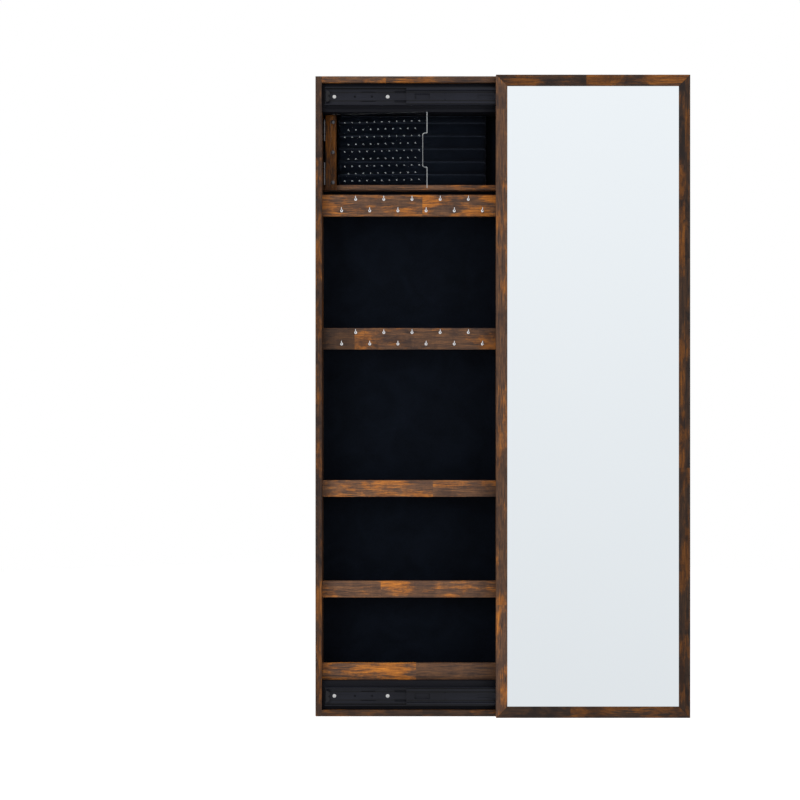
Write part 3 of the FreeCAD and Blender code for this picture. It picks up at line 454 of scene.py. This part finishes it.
black_board, tree, shader = new_finish("black_foiled_board", Specular_IOR_Level=0.14)
emboss = noise(tree, place_on(tree), 420.0, 3.0)
streaks = noise(tree, drawn_out(tree, 30.0), 22.0, 4.0)
wire(
    tree,
    shader,
    Base_Color=blend(tree, streaks, paint(9, 10, 15), paint(18, 19, 26)),
    Roughness=reckon(tree, "MULTIPLY_ADD", emboss, 0.25, 0.42),
    Normal=embossed(tree, emboss, 0.25, 0.1 * MM),
)
for node in ("top_slide_batten", "bottom_slide_batten", "slide_bay_floor"):
    eased(node, f"{node}_board", black_board)


# ------------------------------------------------------------------ velvet lining
# Black velvet, glued over the whole back panel behind the shelves and the rails. Its nap is
# brushed this way and that.
def velvet(name, tuft):
    """Black pile of the given fineness, with a faint blue bloom at its edges."""
    constants = {"Specular_IOR_Level": 0.1, "Sheen_Weight": 0.16, "Sheen_Roughness": 0.4}
    finish, tree, shader = new_finish(name, Roughness=1.0, **constants)
    shader.inputs["Sheen Tint"].default_value = (0.5, 0.62, 0.9, 1)
    place = place_on(tree)
    brushed = noise(tree, place, 16.0, 3.0, Distortion=1.2)
    pile = noise(tree, place, tuft, 3.0, Roughness=0.7)
    depth = reckon(tree, "MULTIPLY_ADD", brushed, 0.5, pile)
    tone = blend(tree, spread(tree, depth, 0.5, 1.0), paint(3, 5, 9), paint(13, 18, 27))
    wire(tree, shader, Base_Color=tone, Normal=embossed(tree, depth, 0.5, 0.4 * MM))
    return finish


dressed("back_lining", velvet("black_velvet_lining", 700.0))


# ------------------------------------------------------------------ lips, rails and ring shelf
# Strips of the same foiled board, cut from brighter parts of the print. The lips stand at the
# front of the shelves, and the rails cross the open part and carry the hooks.
STRIPS = (
    (
        "lip_lower", "lower_shelf_lip",
        (5.23, 0.63, 0.32), (1.05, 0.3, 1.38), 7.7 * MM, (0.12, 1.0),
    ),
    (
        "lip_middle", "middle_shelf_lip",
        (6.92, 0.35, 1.6), (0.45, 0.4, 1.22), -60 * MM, (0.8, 1.22),
    ),
    (
        "lip_upper", "upper_shelf_lip",
        (8.71, 1.93, 0.8), (0.6, 0.4, 1.15), 40 * MM, (0.5, 1.1),
    ),
    (
        "hook_rail_lower", "lower_hook_rail",
        (9.4, 0.27, 0.11), (0.15, 0.75, 0.5), -110 * MM, (0.6, 0.85),
    ),
    (
        "hook_rail_upper", "upper_hook_rail",
        (11.15, 0.78, 0.35), (0.7, 0.5, 1.0), 20 * MM, (1.0, 1.05),
    ),
    (
        "ring_shelf", "ring_shelf_board",
        (12.6, 1.1, 0.7), (0.5, 0.5, 1.1), 60 * MM, (0.7, 1.1),
    ),
)
for node, name, shift, tones, joint, beyond in STRIPS:
    finish = foil_finish(f"foil_on_{name}", "x", shift, tones, joint, beyond)
    eased(node, name, finish)


# ------------------------------------------------------------------ hooks
# Nickel-plated wire hooks, eleven to a rail: a domed collar on the rail's face and a wire that
# comes forward, turns up and tapers to a rounded tip.
WIRE = 1.1 * MM
HOOK_REACH = 8.5 * MM
HOOK_BEND = 2.0 * MM
HOOK_RISE = 6.0 * MM
TAPER_FROM = 4.6 * MM
TAPERED = 0.84
COLLAR = 3.0 * MM
COLLAR_DOME = ((0.0, 1.0), (0.45, 1.0), (0.8, 0.93), (1.05, 0.8), (1.2, 0.62), (1.2, 0.3))
COLLAR_SIDES = 28
HOOK_PITCH = 54 * MM
HOOK_TOP_DROP = 8.5 * MM
HOOK_ROW_GAP = 22 * MM


def skin(form, loops):
    """Quads between each ring of points and the next, and a cap on either end."""
    for first, second in zip(loops, loops[1:]):
        for k in range(len(first)):
            step = (k + 1) % len(first)
            form.faces.new((first[k], first[step], second[step], second[k]))
    form.faces.new(list(reversed(loops[0])))
    form.faces.new(loops[-1])


def tube_along(form, spots, radii, sides):
    """Skin a round tube over a run of points that all lie in one upright plane."""
    loops = []
    for index, (spot, radius) in enumerate(zip(spots, radii)):
        ahead = spots[min(index + 1, len(spots) - 1)] - spots[max(index - 1, 0)]
        ahead.normalize()
        side = Vector((1, 0, 0))
        up = ahead.cross(side).normalized()
        turns = [tau * k / sides for k in range(sides)]
        ring = [spot + (side * cos(turn) + up * sin(turn)) * radius for turn in turns]
        loops.append([form.verts.new(point) for point in ring])
    skin(form, loops)


def one_hook(form, at):
    """A bent wire with a rounded tip, and the domed collar at its root."""
    bend = HOOK_BEND + 0.6 * MM
    upright = HOOK_REACH + HOOK_BEND
    run = [Vector((0, 0.4 * MM, 0)), Vector((0, bend - upright, 0))]
    for step in range(1, 9):
        turn = radians(90) * step / 8
        run.append(Vector((0, bend - upright - bend * sin(turn), bend * (1 - cos(turn)))))
    tip = HOOK_RISE + 0.2 * MM
    run += [Vector((0, -upright, level)) for level in (TAPER_FROM - 1.0 * MM, TAPER_FROM)]
    radii = [WIRE] * 8 + [WIRE * share for share in (0.98, 0.95, 0.9, TAPERED)]
    for step in range(1, 6):
        turn = radians(90) * step / 5
        run.append(Vector((0, -upright, TAPER_FROM + (tip - TAPER_FROM) * sin(turn))))
        radii.append(max(WIRE * TAPERED * cos(turn), 0.08 * MM))
    tube_along(form, [spot + at for spot in run], radii, 14)
    loops = []
    for out, share in COLLAR_DOME:
        radius = share * COLLAR
        turns = [tau * k / COLLAR_SIDES for k in range(COLLAR_SIDES)]
        ring = [at + Vector((radius * cos(turn), -out * MM, radius * sin(turn))) for turn in turns]
        loops.append([form.verts.new(point) for point in ring])
    skin(form, loops)


def plated(name, colour, roughness, wear):
    """Bright plated metal with a brushed, slightly uneven skin."""
    finish, tree, shader = new_finish(name, Metallic=1.0)
    cloud = noise(tree, place_on(tree), 300.0, 4.0)
    worn = [c * (1 - wear) for c in colour[:3]] + [1]
    rough = reckon(tree, "MULTIPLY_ADD", cloud, 0.14, roughness)
    wire(tree, shader, Base_Color=blend(tree, cloud, worn, colour), Roughness=rough)
    return finish


NICKEL = plated("bright_nickel", (0.86, 0.87, 0.89, 1), 0.12, 0.2)


def smooth_mesh(form, name, sharp=35):
    """A smooth mesh of the form, with its faces turned outwards and its sharp edges kept."""
    bmesh.ops.recalc_face_normals(form, faces=form.faces)
    mesh = bpy.data.meshes.new(name)
    form.to_mesh(mesh)
    form.free()
    mesh.shade_smooth()
    mesh.set_sharp_from_angle(angle=radians(sharp))
    return mesh


for height in ("upper", "lower"):
    low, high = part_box(f"hook_rail_{height}")
    row = high.z - HOOK_TOP_DROP
    spots = [Vector((step * HOOK_PITCH, low.y, row)) for step in range(-2, 3)]
    lower_row = row - HOOK_ROW_GAP
    spots += [Vector(((step + 0.5) * HOOK_PITCH, low.y, lower_row)) for step in range(-3, 3)]
    form = bmesh.new()
    for spot in spots:
        one_hook(form, spot)
    name = f"{height}_rail_hooks"
    show(smooth_mesh(form, name), name, "cabinet", NICKEL, [f"hooks_{height}"])


# ------------------------------------------------------------------ ring cushion
# Six rolls of foam, each wrapped in black velvet and pressed side by side, so that rings stand in
# the slits between them. The velvet is drawn in and puckered at the rolls' ends.
ROLLS = 6
ROLL_PITCH = 25 * MM
FIRST_SLIT = 21.7 * MM
SLIT = 1.0 * MM
DRAWN_IN = 10 * MM
END_ROOM = 1.4 * MM
FRONT_ROOM = 1.0 * MM
SWELL = 1.6 * MM
SWELL_UP = 0.4 * MM
ALONG_STEPS = 72
ROUND_STEPS = 28


def roll_mesh(name, low, high, front, back, half, seed):
    """One roll: a rounded bar whose velvet draws in at both ends."""
    chance = random.Random(seed)
    phase = [chance.uniform(0, tau) for _ in range(2)]
    form = bmesh.new()
    loops = []
    middle = Vector((0, (front + back) / 2, (low + high) / 2))
    for step in range(ALONG_STEPS + 1):
        way = -1 + 2 * step / ALONG_STEPS
        x = half * sin(way * pi / 2) if abs(way) > 0.98 else half * way
        near_end = max(0.0, 1 - (half - abs(x)) / DRAWN_IN)
        draw = sqrt(max(1 - near_end**2.4, 0.0)) * 0.38 + 0.62
        ring = []
        for k in range(ROUND_STEPS):
            angle = tau * k / ROUND_STEPS
            ease = 2.6 if cos(angle) > 0 else 6.0
            reach = (abs(cos(angle)) ** ease + abs(sin(angle)) ** ease) ** (-1 / ease)
            pucker = 1 + 0.05 * near_end * sin(9 * angle + phase[0])
            pucker += 0.012 * sin(38 * x / half + 3 * angle + phase[1])
            fullness = draw * (pucker if cos(angle) > 0 else 1)
            y = middle.y - cos(angle) * reach * (back - front) / 2 * fullness
            z = middle.z + sin(angle) * reach * (high - low) / 2 * (0.9 + 0.1 * draw)
            ring.append(form.verts.new((x, y, z)))
        loops.append(ring)
    for first, second in zip(loops, loops[1:]):
        for k in range(ROUND_STEPS):
            step = (k + 1) % ROUND_STEPS
            form.faces.new((first[k], first[step], second[step], second[k]))
    for ring, outwards in ((loops[0], -1), (loops[-1], 1)):
        centre = form.verts.new(sum((vertex.co for vertex in ring), Vector()) / len(ring))
        centre.co.x += outwards * 1.2 * MM
        for k in range(ROUND_STEPS):
            form.faces.new((ring[k], ring[(k + 1) % ROUND_STEPS], centre)[::outwards])
    return smooth_mesh(form, name, 60)


cushion_low, cushion_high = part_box("ring_cushion")
half = (cushion_high.x - cushion_low.x) / 2 - END_ROOM
shelf_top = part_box("ring_shelf")[1].z
slits = [shelf_top + FIRST_SLIT + step * ROLL_PITCH for step in range(ROLLS - 1)]
edges = [cushion_low.z, *slits, cushion_high.z]
front, back = cushion_low.y + FRONT_ROOM, cushion_high.y
rolls = []
for index, (low, high) in enumerate(zip(edges, edges[1:])):
    low += SLIT / 2 if index else 0
    high -= SLIT / 2 if index < ROLLS - 1 else 0
    mesh = roll_mesh(f"roll_{index}", low, high, front, back, half, 11 + index)
    roll = bpy.data.objects.new(f"roll_{index}", mesh)
    scene.collection.objects.link(roll)
    rolls.append(roll)
bpy.ops.object.select_all(action="DESELECT")
for roll in rolls:
    roll.select_set(True)
bpy.context.view_layer.objects.active = rolls[0]
bpy.ops.object.join()
cushion = rolls[0]
cushion.name = "ring_cushion_rolls"


def fill_out(cushion, cap):
    """Let the velvet swell over its foam, no further than the cap, with its back held."""
    start = [vertex.co.copy() for vertex in cushion.data.vertices]
    held = cushion.vertex_groups.new(name="glued_back")
    back = max(point.y for point in start)
    held.add([i for i, point in enumerate(start) if point.y > back - 3 * MM], 1.0, "REPLACE")
    cloth = cushion.modifiers.new("velvet_cover", "CLOTH")
    cloth.settings.vertex_group_mass = "glued_back"
    cloth.settings.use_pressure = True
    cloth.settings.uniform_pressure_force = 4.0
    cloth.settings.effector_weights.gravity = 0.0
    cloth.settings.quality = 6
    cloth.point_cache.frame_start = 1
    cloth.point_cache.frame_end = 20
    for step in range(1, 21):
        scene.frame_set(step)
    swollen = cushion.evaluated_get(bpy.context.evaluated_depsgraph_get()).to_mesh()
    moved = [vertex.co - begin for vertex, begin in zip(swollen.vertices, start)]
    cushion.modifiers.remove(cloth)
    cushion.vertex_groups.clear()
    scene.frame_set(1)
    for vertex, begin, move in zip(cushion.data.vertices, start, moved):
        move.x = max(-cap, min(cap, move.x))
        move.y = max(-cap, min(cap, move.y))
        move.z = max(-SWELL_UP, min(SWELL_UP, move.z))
        vertex.co = begin + move


fill_out(cushion, SWELL)
cushion.data.materials.clear()
cushion.data.materials.append(velvet("black_velvet_rolls", 900.0))
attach(cushion, "cabinet")
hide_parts("ring_cushion")


# ------------------------------------------------------------------ screws
# Truss-head screws hold the slides, the hangers, the door and the clear board. Each head is a low
# dome with a pressed cross recess, bright zinc-plated, or black on the clear board.
SCREW_HEAD = 3.75 * MM
SCREW_HEAD_HEIGHT = 1.1 * MM
HEAD_SIDES = 32
HEAD_PROFILE = (
    (0, 1.0),
    (0.22, 1.0),
    (0.42, 0.97),
    (0.62, 0.88),
    (0.8, 0.72),
    (0.93, 0.48),
    (1.0, 0.18),
    (1.0, 0.02),
)
CROSS_LENGTH = 4.4 * MM
CROSS_WIDTH = 0.95 * MM
CROSS_TAPER = 0.42
CROSS_DEPTH = 2.2 * MM
CROSS_MIDDLE = 1.75 * MM
ZINC = plated("bright_zinc", (0.66, 0.66, 0.66, 1), 0.2, 0.15)


def screw_head():
    """One head, its seat at the origin and its crown towards -Y."""
    form = bmesh.new()
    loops = []
    for out, share in HEAD_PROFILE:
        reach, level = share * SCREW_HEAD, -out * SCREW_HEAD_HEIGHT
        turns = [tau * k / HEAD_SIDES for k in range(HEAD_SIDES)]
        ring = [(reach * cos(turn), level, reach * sin(turn)) for turn in turns]
        loops.append([form.verts.new(point) for point in ring])
    skin(form, loops)
    mesh = smooth_mesh(form, "screw_head_blank")
    head = bpy.data.objects.new("screw_head_blank", mesh)
    scene.collection.objects.link(head)
    form = bmesh.new()
    for turn in (0, 90):
        arm = bmesh.ops.create_cube(form, size=1.0)["verts"]
        for vertex in arm:
            wide = CROSS_TAPER if vertex.co.y > 0 else 1.0
            vertex.co.x *= CROSS_LENGTH * wide
            vertex.co.y = vertex.co.y * CROSS_DEPTH - CROSS_MIDDLE
            vertex.co.z *= CROSS_WIDTH * wide
        bmesh.ops.rotate(form, verts=arm, matrix=Matrix.Rotation(radians(turn), 3, "Y"))
    bmesh.ops.recalc_face_normals(form, faces=form.faces)
    punch_mesh = bpy.data.meshes.new("cross_punch")
    form.to_mesh(punch_mesh)
    form.free()
    punch = bpy.data.objects.new("cross_punch", punch_mesh)
    scene.collection.objects.link(punch)
    press = head.modifiers.new("press", "BOOLEAN")
    press.operation = "DIFFERENCE"
    press.object = punch
    press.use_self = True
    punched = head.evaluated_get(bpy.context.evaluated_depsgraph_get())
    pressed = bpy.data.meshes.new_from_object(punched)
    bpy.data.objects.remove(head)
    bpy.data.objects.remove(punch)
    pressed.materials.clear()
    return pressed


SCREW_HEAD_FORM = screw_head()


def driven_screws(name, body, spots, replaced, finish=ZINC):
    """Heads at the given seats, each recess turned by chance; a lean of pi faces the wall."""
    chance = random.Random(name)
    form = bmesh.new()
    for seat, lean in spots:
        before = len(form.verts)
        form.from_mesh(SCREW_HEAD_FORM)
        form.verts.ensure_lookup_table()
        fresh = form.verts[before:]
        turn = Matrix.Rotation(lean, 3, "Z") @ Matrix.Rotation(chance.uniform(0, pi), 3, "Y")
        for vertex in fresh:
            vertex.co = turn @ vertex.co + Vector(seat)
    mesh = bpy.data.meshes.new(name)
    form.to_mesh(mesh)
    form.free()
    mesh.shade_smooth()
    mesh.set_sharp_from_angle(angle=radians(30))
    return show(mesh, name, body, finish, replaced)


SLIDE_SCREWS = (17.5 * MM, 119.5 * MM, 305 * MM)
STEEL = 1.2 * MM
for side in ("top", "bottom"):
    low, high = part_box(f"{side}_slide_outer")
    level = (low.z + high.z) / 2
    seats = [((low.x + along, high.y - STEEL, level), 0) for along in SLIDE_SCREWS]
    driven_screws(f"{side}_slide_screw_heads", "cabinet", seats, [f"{side}_slide_screws"])


# ------------------------------------------------------------------ slides
# Two full-extension ball-bearing slides of cold-rolled steel with a black coat. The members nest,
# and chrome balls in thin steel cages run between their rolled edges.
PAINTED_SHADE_LINES = (8.0 * MM, 15.2 * MM)
PAINTED_SHADE_EDGES = (1.3 * MM, 0.6 * MM)


def coated_steel(side):
    """The black coat of one slide, with dark lines of painted shade along its rolled corners."""
    finish, tree, shader = new_finish(f"black_coated_steel_{side}", Specular_IOR_Level=0.22)
    low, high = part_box(f"{side}_slide_outer")
    lines = noise(tree, drawn_out(tree, 20.0), 40.0, 4.0)
    dust = noise(tree, place_on(tree), 9.0, 5.0)
    shade = spread(tree, reckon(tree, "MULTIPLY_ADD", lines, 0.5, dust), 0.5, 1.0)
    coat_colour = blend(tree, shade, paint(15, 16, 24), paint(27, 29, 39))
    height = add(tree, "ShaderNodeSeparateXYZ", {0: place_on(tree)}).outputs[2]
    height = reckon(tree, "ABSOLUTE", reckon(tree, "SUBTRACT", height, (low.z + high.z) / 2))
    # dark bands at two heights from the slide's middle are painted shade, standing in for the
    # shadows under the rolled edges
    for line in PAINTED_SHADE_LINES:
        off = reckon(tree, "ABSOLUTE", reckon(tree, "SUBTRACT", height, line))
        near = spread(tree, off, *PAINTED_SHADE_EDGES, 0.0, 0.9)
        coat_colour = blend(tree, near, coat_colour, paint(3, 3, 4))
    rough = reckon(tree, "MULTIPLY_ADD", lines, 0.2, 0.34)
    wire(tree, shader, Base_Color=coat_colour, Roughness=rough)
    return finish


THIN_EDGE = 0.15 * MM
RIVET_ALONG = 74 * MM
RIVET_APART = 6.0 * MM
RIVET = 1.1 * MM
MIDDLE_WEB = 4.5 * MM
for side in ("top", "bottom"):
    coat = coated_steel(side)
    for member in ("outer", "middle", "inner", "outer_cage", "inner_cage"):
        node = f"{side}_slide_{member}"
        eased(node, f"{node}_channel", coat, THIN_EDGE, 55)
    # two rivet heads on the middle channel's web, where its catch is fastened
    low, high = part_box(f"{side}_slide_middle")
    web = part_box(f"{side}_slide_outer")[1].y - MIDDLE_WEB
    form = bmesh.new()
    for sign in (1, -1):
        spot = Vector((low.x + RIVET_ALONG, web, (low.z + high.z) / 2 + sign * RIVET_APART))
        place = Matrix.Translation(spot)
        bmesh.ops.create_uvsphere(form, u_segments=16, v_segments=10, radius=RIVET, matrix=place)
    name = f"{side}_catch_rivets"
    show(smooth_mesh(form, name, 80), name, f"{side}_middle", coat)

BALL = 2.0 * MM
BALLS_PER_ROW = 4
CAGE_MARGIN = 8 * MM
CHROME = plated("polished_chrome", (0.9, 0.9, 0.91, 1), 0.04, 0.05)
for side in ("top", "bottom"):
    for row in ("outer", "inner"):
        node = f"{side}_slide_{row}_balls"
        low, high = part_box(node)
        cage_low, cage_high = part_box(f"{side}_slide_{row}_cage")
        first, last = cage_low.x + CAGE_MARGIN, cage_high.x - CAGE_MARGIN
        form = bmesh.new()
        for index in range(BALLS_PER_ROW):
            x = first + (last - first) * index / (BALLS_PER_ROW - 1)
            for z in (low.z + BALL * cos(pi / 8), high.z - BALL * cos(pi / 8)):
                at = Matrix.Translation((x, (low.y + high.y) / 2, z))
                sides = {"u_segments": 20, "v_segments": 12}
                bmesh.ops.create_uvsphere(form, radius=BALL, matrix=at, **sides)
        name = f"{side}_slide_{row}_ball_row"
        mesh = smooth_mesh(form, name, 80)
        show(mesh, name, f"{side}_{row}_cage", CHROME, [node])

rubber, tree, shader = new_finish("black_rubber", Specular_IOR_Level=0.3)
bloom = noise(tree, place_on(tree), 260.0, 4.0)
rough = reckon(tree, "MULTIPLY_ADD", bloom, 0.3, 0.55)
tone = blend(tree, bloom, paint(14, 14, 16), paint(34, 34, 38))
wire(tree, shader, Base_Color=tone, Roughness=rough)
for side in ("top", "bottom"):
    eased(f"{side}_slide_bumper", f"{side}_slide_stop", rubber, 0.4 * MM)


# ------------------------------------------------------------------ earring board
# A clear plastic sheet, drilled in staggered rows and notched for a finger, is screwed to a foiled
# stile that swings on two butt hinges. Its sawn free edge looks frosted, and a faint glow on it is
# a painted highlight; its other edges and the holes are polished.
STILE_FOIL = foil_finish("foil_on_earring_stile", "z", (13.7, 0.2, 2.2), (1.3, 0.3, 0.42))
eased("earring_stile", "earring_board_stile", STILE_FOIL)

SHEET = 3.0 * MM
SWING = radians(10)
HINGE_AXIS = Vector((-169 * MM, -45 * MM, 0))
BOARD_LOW = -87.5 * MM
BOARD_HEIGHT = 145.5 * MM
BOARD_LEFT = 13 * MM
BOARD_REACH = 201.5 * MM
BARREL = 3 * MM
FINGER_HEIGHT = 65 * MM
FINGER_DEPTH = 8.4 * MM
FINGER_CORNER = 4 * MM
HOLE = 1.0 * MM
SAWN_EDGE = 0.2 * MM
HOLE_COLUMN = 14.5 * MM
HOLE_ROW = 28 * MM
HOLE_COLUMNS = 11
HOLE_ROWS = 5
HOLE_MARGIN = 15 * MM
SCREW_COLUMN = 18 * MM
SCREW_MARGIN = 14.7 * MM
SCREWS_UP = (SCREW_MARGIN, BOARD_HEIGHT / 2, BOARD_HEIGHT - SCREW_MARGIN)
SCREW_HOLE = 1.8 * MM
HINGE_SLACK = 0.04 * MM


def on_board(along, inward, up):
    """A point of the board, given from its hinge axis, where the board stands at rest."""
    turn = Matrix.Rotation(-SWING, 3, "Z")
    return turn @ Vector((along, inward, 0)) + HINGE_AXIS + Vector((0, 0, BOARD_LOW + up))


def sheet_outline():
    """The board's outline, counter-clockwise, with the finger notch's rounded inner corners."""
    middle = BOARD_HEIGHT / 2
    low, high = middle - FINGER_HEIGHT / 2, middle + FINGER_HEIGHT / 2
    neck = BOARD_REACH - FINGER_DEPTH
    points = [(BOARD_LEFT, 0), (BOARD_REACH, 0), (BOARD_REACH, low)]
    for step in range(7):
        turn = radians(90) * step / 6
        in_by, up_by = FINGER_CORNER * (1 - sin(turn)), FINGER_CORNER * (1 - cos(turn))
        points.append((neck + in_by, low + up_by))
    for step in range(7):
        turn = radians(90) * step / 6
        in_by, down_by = FINGER_CORNER * (1 - cos(turn)), FINGER_CORNER * (1 - sin(turn))
        points.append((neck + in_by, high - down_by))
    return points + [(BOARD_REACH, high), (BOARD_REACH, BOARD_HEIGHT), (BOARD_LEFT, BOARD_HEIGHT)]


def closed_run(curve, points):
    """One closed outline of the sheet: its rim, or a hole in it."""
    run = curve.splines.new("POLY")
    run.points.add(len(points) - 1)
    for point, (x, y) in zip(run.points, points):
        point.co = (x, y, 0, 1)
    run.use_cyclic_u = True


def drilled(curve, x, y, radius, sides):
    """A round hole through the sheet."""
    turns = [tau * k / sides for k in range(sides)]
    closed_run(curve, [(x + radius * cos(turn), y + radius * sin(turn)) for turn in turns])


sheet_curve = bpy.data.curves.new("clear_sheet", "CURVE")
sheet_curve.dimensions = "2D"
sheet_curve.fill_mode = "BOTH"
sheet_curve.extrude = SHEET / 2 - SAWN_EDGE
sheet_curve.bevel_depth = SAWN_EDGE
sheet_curve.offset = -SAWN_EDGE
sheet_curve.bevel_resolution = 1
closed_run(sheet_curve, sheet_outline())
for shorter in (0, 1):
    for row in range(HOLE_ROWS - shorter):
        for column in range(HOLE_COLUMNS - shorter):
            x = BOARD_REACH - HOLE_MARGIN - (10 - column - shorter / 2) * HOLE_COLUMN
            y = BOARD_HEIGHT / 2 + (row - (4 - shorter) / 2) * HOLE_ROW
            drilled(sheet_curve, x, y, HOLE, 12)
for up in SCREWS_UP:
    drilled(sheet_curve, SCREW_COLUMN, up, SCREW_HOLE, 16)
sheet_object = bpy.data.objects.new("clear_sheet_outline", sheet_curve)
scene.collection.objects.link(sheet_object)
cut_sheet = sheet_object.evaluated_get(bpy.context.evaluated_depsgraph_get())
sheet_mesh = bpy.data.meshes.new_from_object(cut_sheet)
bpy.data.objects.remove(sheet_object)
form = bmesh.new()
form.from_mesh(sheet_mesh)
bmesh.ops.remove_doubles(form, verts=form.verts, dist=1e-6)
for vertex in form.verts:
    vertex.co = on_board(vertex.co.x, -BARREL - SHEET / 2 + vertex.co.z, vertex.co.y)
bmesh.ops.recalc_face_normals(form, faces=form.faces)
if form.calc_volume(signed=True) < 0:
    bmesh.ops.reverse_faces(form, faces=form.faces)
form.to_mesh(sheet_mesh)
form.free()
sheet_mesh.shade_flat()
sheet_mesh.name = "clear_earring_sheet"

CLEAR = {"IOR": 1.49, "Transmission_Weight": 1.0, "Roughness": 0.0}
clear_face, tree, shader = new_finish("clear_sheet_face", **CLEAR)
shader.inputs["Specular Tint"].default_value = (0, 0, 0, 1)
haze = noise(tree, place_on(tree), 60.0, 5.0)
wire(tree, shader, Base_Color=blend(tree, haze, (0.93, 0.95, 0.96, 1), (0.98, 0.99, 0.99, 1)))
# the sawn edge is frosted, and its emission is a painted highlight: the edge glows in its own tint
# though no lamp is there
glowing_sawn_edge, tree, shader = new_finish("clear_sheet_sawn_edge_painted_glow", IOR=1.49, Emission_Strength=0.45)
saw_lines = noise(tree, place_on(tree), 1500.0, 3.0)
tint = blend(tree, saw_lines, (0.6, 0.64, 0.66, 1), (0.86, 0.9, 0.92, 1))
rough = reckon(tree, "MULTIPLY_ADD", saw_lines, 0.3, 0.35)
wire(tree, shader, Base_Color=tint, Emission_Color=tint, Roughness=rough)
name = "clear_earring_sheet"
sheet = show(sheet_mesh, name, "earring_board", clear_face, ["earring_board"])
sheet_mesh.materials.append(glowing_sawn_edge)
facing = on_board(0, -1, 0) - on_board(0, 0, 0)
left_edge = on_board(BOARD_LEFT, 0, 0).x
foot, head = on_board(0, 0, 0).z, on_board(0, 0, BOARD_HEIGHT).z
neck = on_board(BOARD_REACH - FINGER_DEPTH - 1 * MM, 0, 0).x
for face in sheet_mesh.polygons:
    spot = face.center
    polished = min(spot.x - left_edge, spot.z - foot, head - spot.z) < 1 * MM
    clear = abs(face.normal.dot(facing)) > (0.3 if spot.x < neck else 0.95)
    face.material_index = 0 if clear or polished else 1
sheet.visible_shadow = False

DARK_PLATE = plated("black_nickel", (0.12, 0.12, 0.13, 1), 0.22, 0.3)
seats = [(on_board(SCREW_COLUMN, -BARREL - SHEET, up), -SWING) for up in SCREWS_UP]
name = "earring_board_screw_heads"
driven_screws(name, "earring_board", seats, ["earring_board_screws"], DARK_PLATE)

# Two small butt hinges of black-plated steel, with rolled barrels round a loose pin.
for node, name in (
    ("earring_hinge_wall_leaves", "earring_hinges_wall_leaves"),
    ("earring_hinge_door_leaves", "earring_hinges_door_leaves"),
    ("earring_hinge_pins", "earring_hinges_pins"),
):
    eased(node, name, DARK_PLATE, THIN_EDGE, 55, HINGE_SLACK)


# ------------------------------------------------------------------ hangers
# Two hat-shaped straps of bronze-plated steel on the back edges, each with a keyhole that drops
# over a screw in the wall. Two screws hold each strap.
EAR_FACE = -5.5 * MM
EAR_SCREW = 17.5 * MM
strap, tree, shader = new_finish("bronze_plated_strap", Metallic=1.0)
feeds = {"Vector": place_on(tree), "Scale": 260.0}
spangle = add(tree, "ShaderNodeTexVoronoi", feeds, feature="F1").outputs["Distance"]
tone = blend(tree, spangle, paint(84, 70, 58), paint(112, 94, 78))
wire(tree, shader, Base_Color=tone, Roughness=reckon(tree, "MULTIPLY_ADD", spangle, 0.2, 0.3))
for node in ("hanger_left", "hanger_right"):
    eased(node, f"{node}_strap", strap, 0.25 * MM)
seats = []
for node in ("hanger_left", "hanger_right"):
    low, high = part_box(node)
    x, middle = (low.x + high.x) / 2, (low.z + high.z) / 2
    seats += [((x, EAR_FACE, middle + sign * EAR_SCREW), pi) for sign in (1, -1)]
driven_screws("hanger_screw_heads", "cabinet", seats, ["hanger_screws"])


# ------------------------------------------------------------------ mirror door
# A mitred frame of foiled bars, rebated behind for the mirror. Each bar is cut from its own
# stretch of foil, with the grain along the bar.
FRAME_BARS = (
    (
        "frame_top_rail", "door_top_bar", "x",
        (15.3, 0.4, 1.0), (0.75, 0.8, 0.35), 0.33, (0.95, 0.38),
    ),
    (
        "frame_bottom_rail", "door_bottom_bar", "x",
        (17.1, 1.4, 0.3), (0.75, 0.85, 0.4), 0.3, (0.9, 0.38),
    ),
    (
        "frame_left_stile", "door_left_bar", "z",
        (19.8, 0.7, 2.4), (0.75, 0.6, 0.95), -0.41, (0.55, 0.93),
    ),
    (
        "frame_right_stile", "door_right_bar", "z",
        (22.4, 2.6, 0.6), (0.8, 0.95, 0.28), -0.62, (0.75, 0.3),
    ),
)
for node, name, grain, shift, tones, joint, beyond in FRAME_BARS:
    finish = foil_finish(f"foil_on_{name}", grain, shift, tones, joint, beyond)
    eased(node, name, finish, 0.45 * MM)

# Float glass silvered behind, lying in the rebate, and the fibreboard that backs it.
silvered, tree, shader = new_finish("silvered_glass", Metallic=1.0)
film = noise(tree, place_on(tree), 2.2, 3.0)
smear = noise(tree, place_on(tree), 30.0, 5.0)
tint = blend(tree, film, (0.852, 0.9, 0.935, 1), (0.872, 0.92, 0.956, 1))
wire(tree, shader, Base_Color=tint, Roughness=reckon(tree, "MULTIPLY_ADD", smear, 0.012, 0.0))
dressed("mirror_glass", silvered)
DOOR_FIBRE = fibreboard_finish("door_fibreboard", paint(58, 43, 34), paint(96, 72, 54))
eased("mirror_backing", "door_back_board", DOOR_FIBRE, 0.4 * MM)

DOOR_SCREWS = (30 * MM, 300 * MM)
seats = []
for side in ("top", "bottom"):
    low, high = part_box(f"{side}_slide_inner")
    door_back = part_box("mirror_backing")[1].y
    level = (low.z + high.z) / 2
    seats += [((low.x + along, door_back + STEEL, level), pi) for along in DOOR_SCREWS]
driven_screws("mirror_door_screw_heads", "mirror_door", seats, ["mirror_door_screws"])
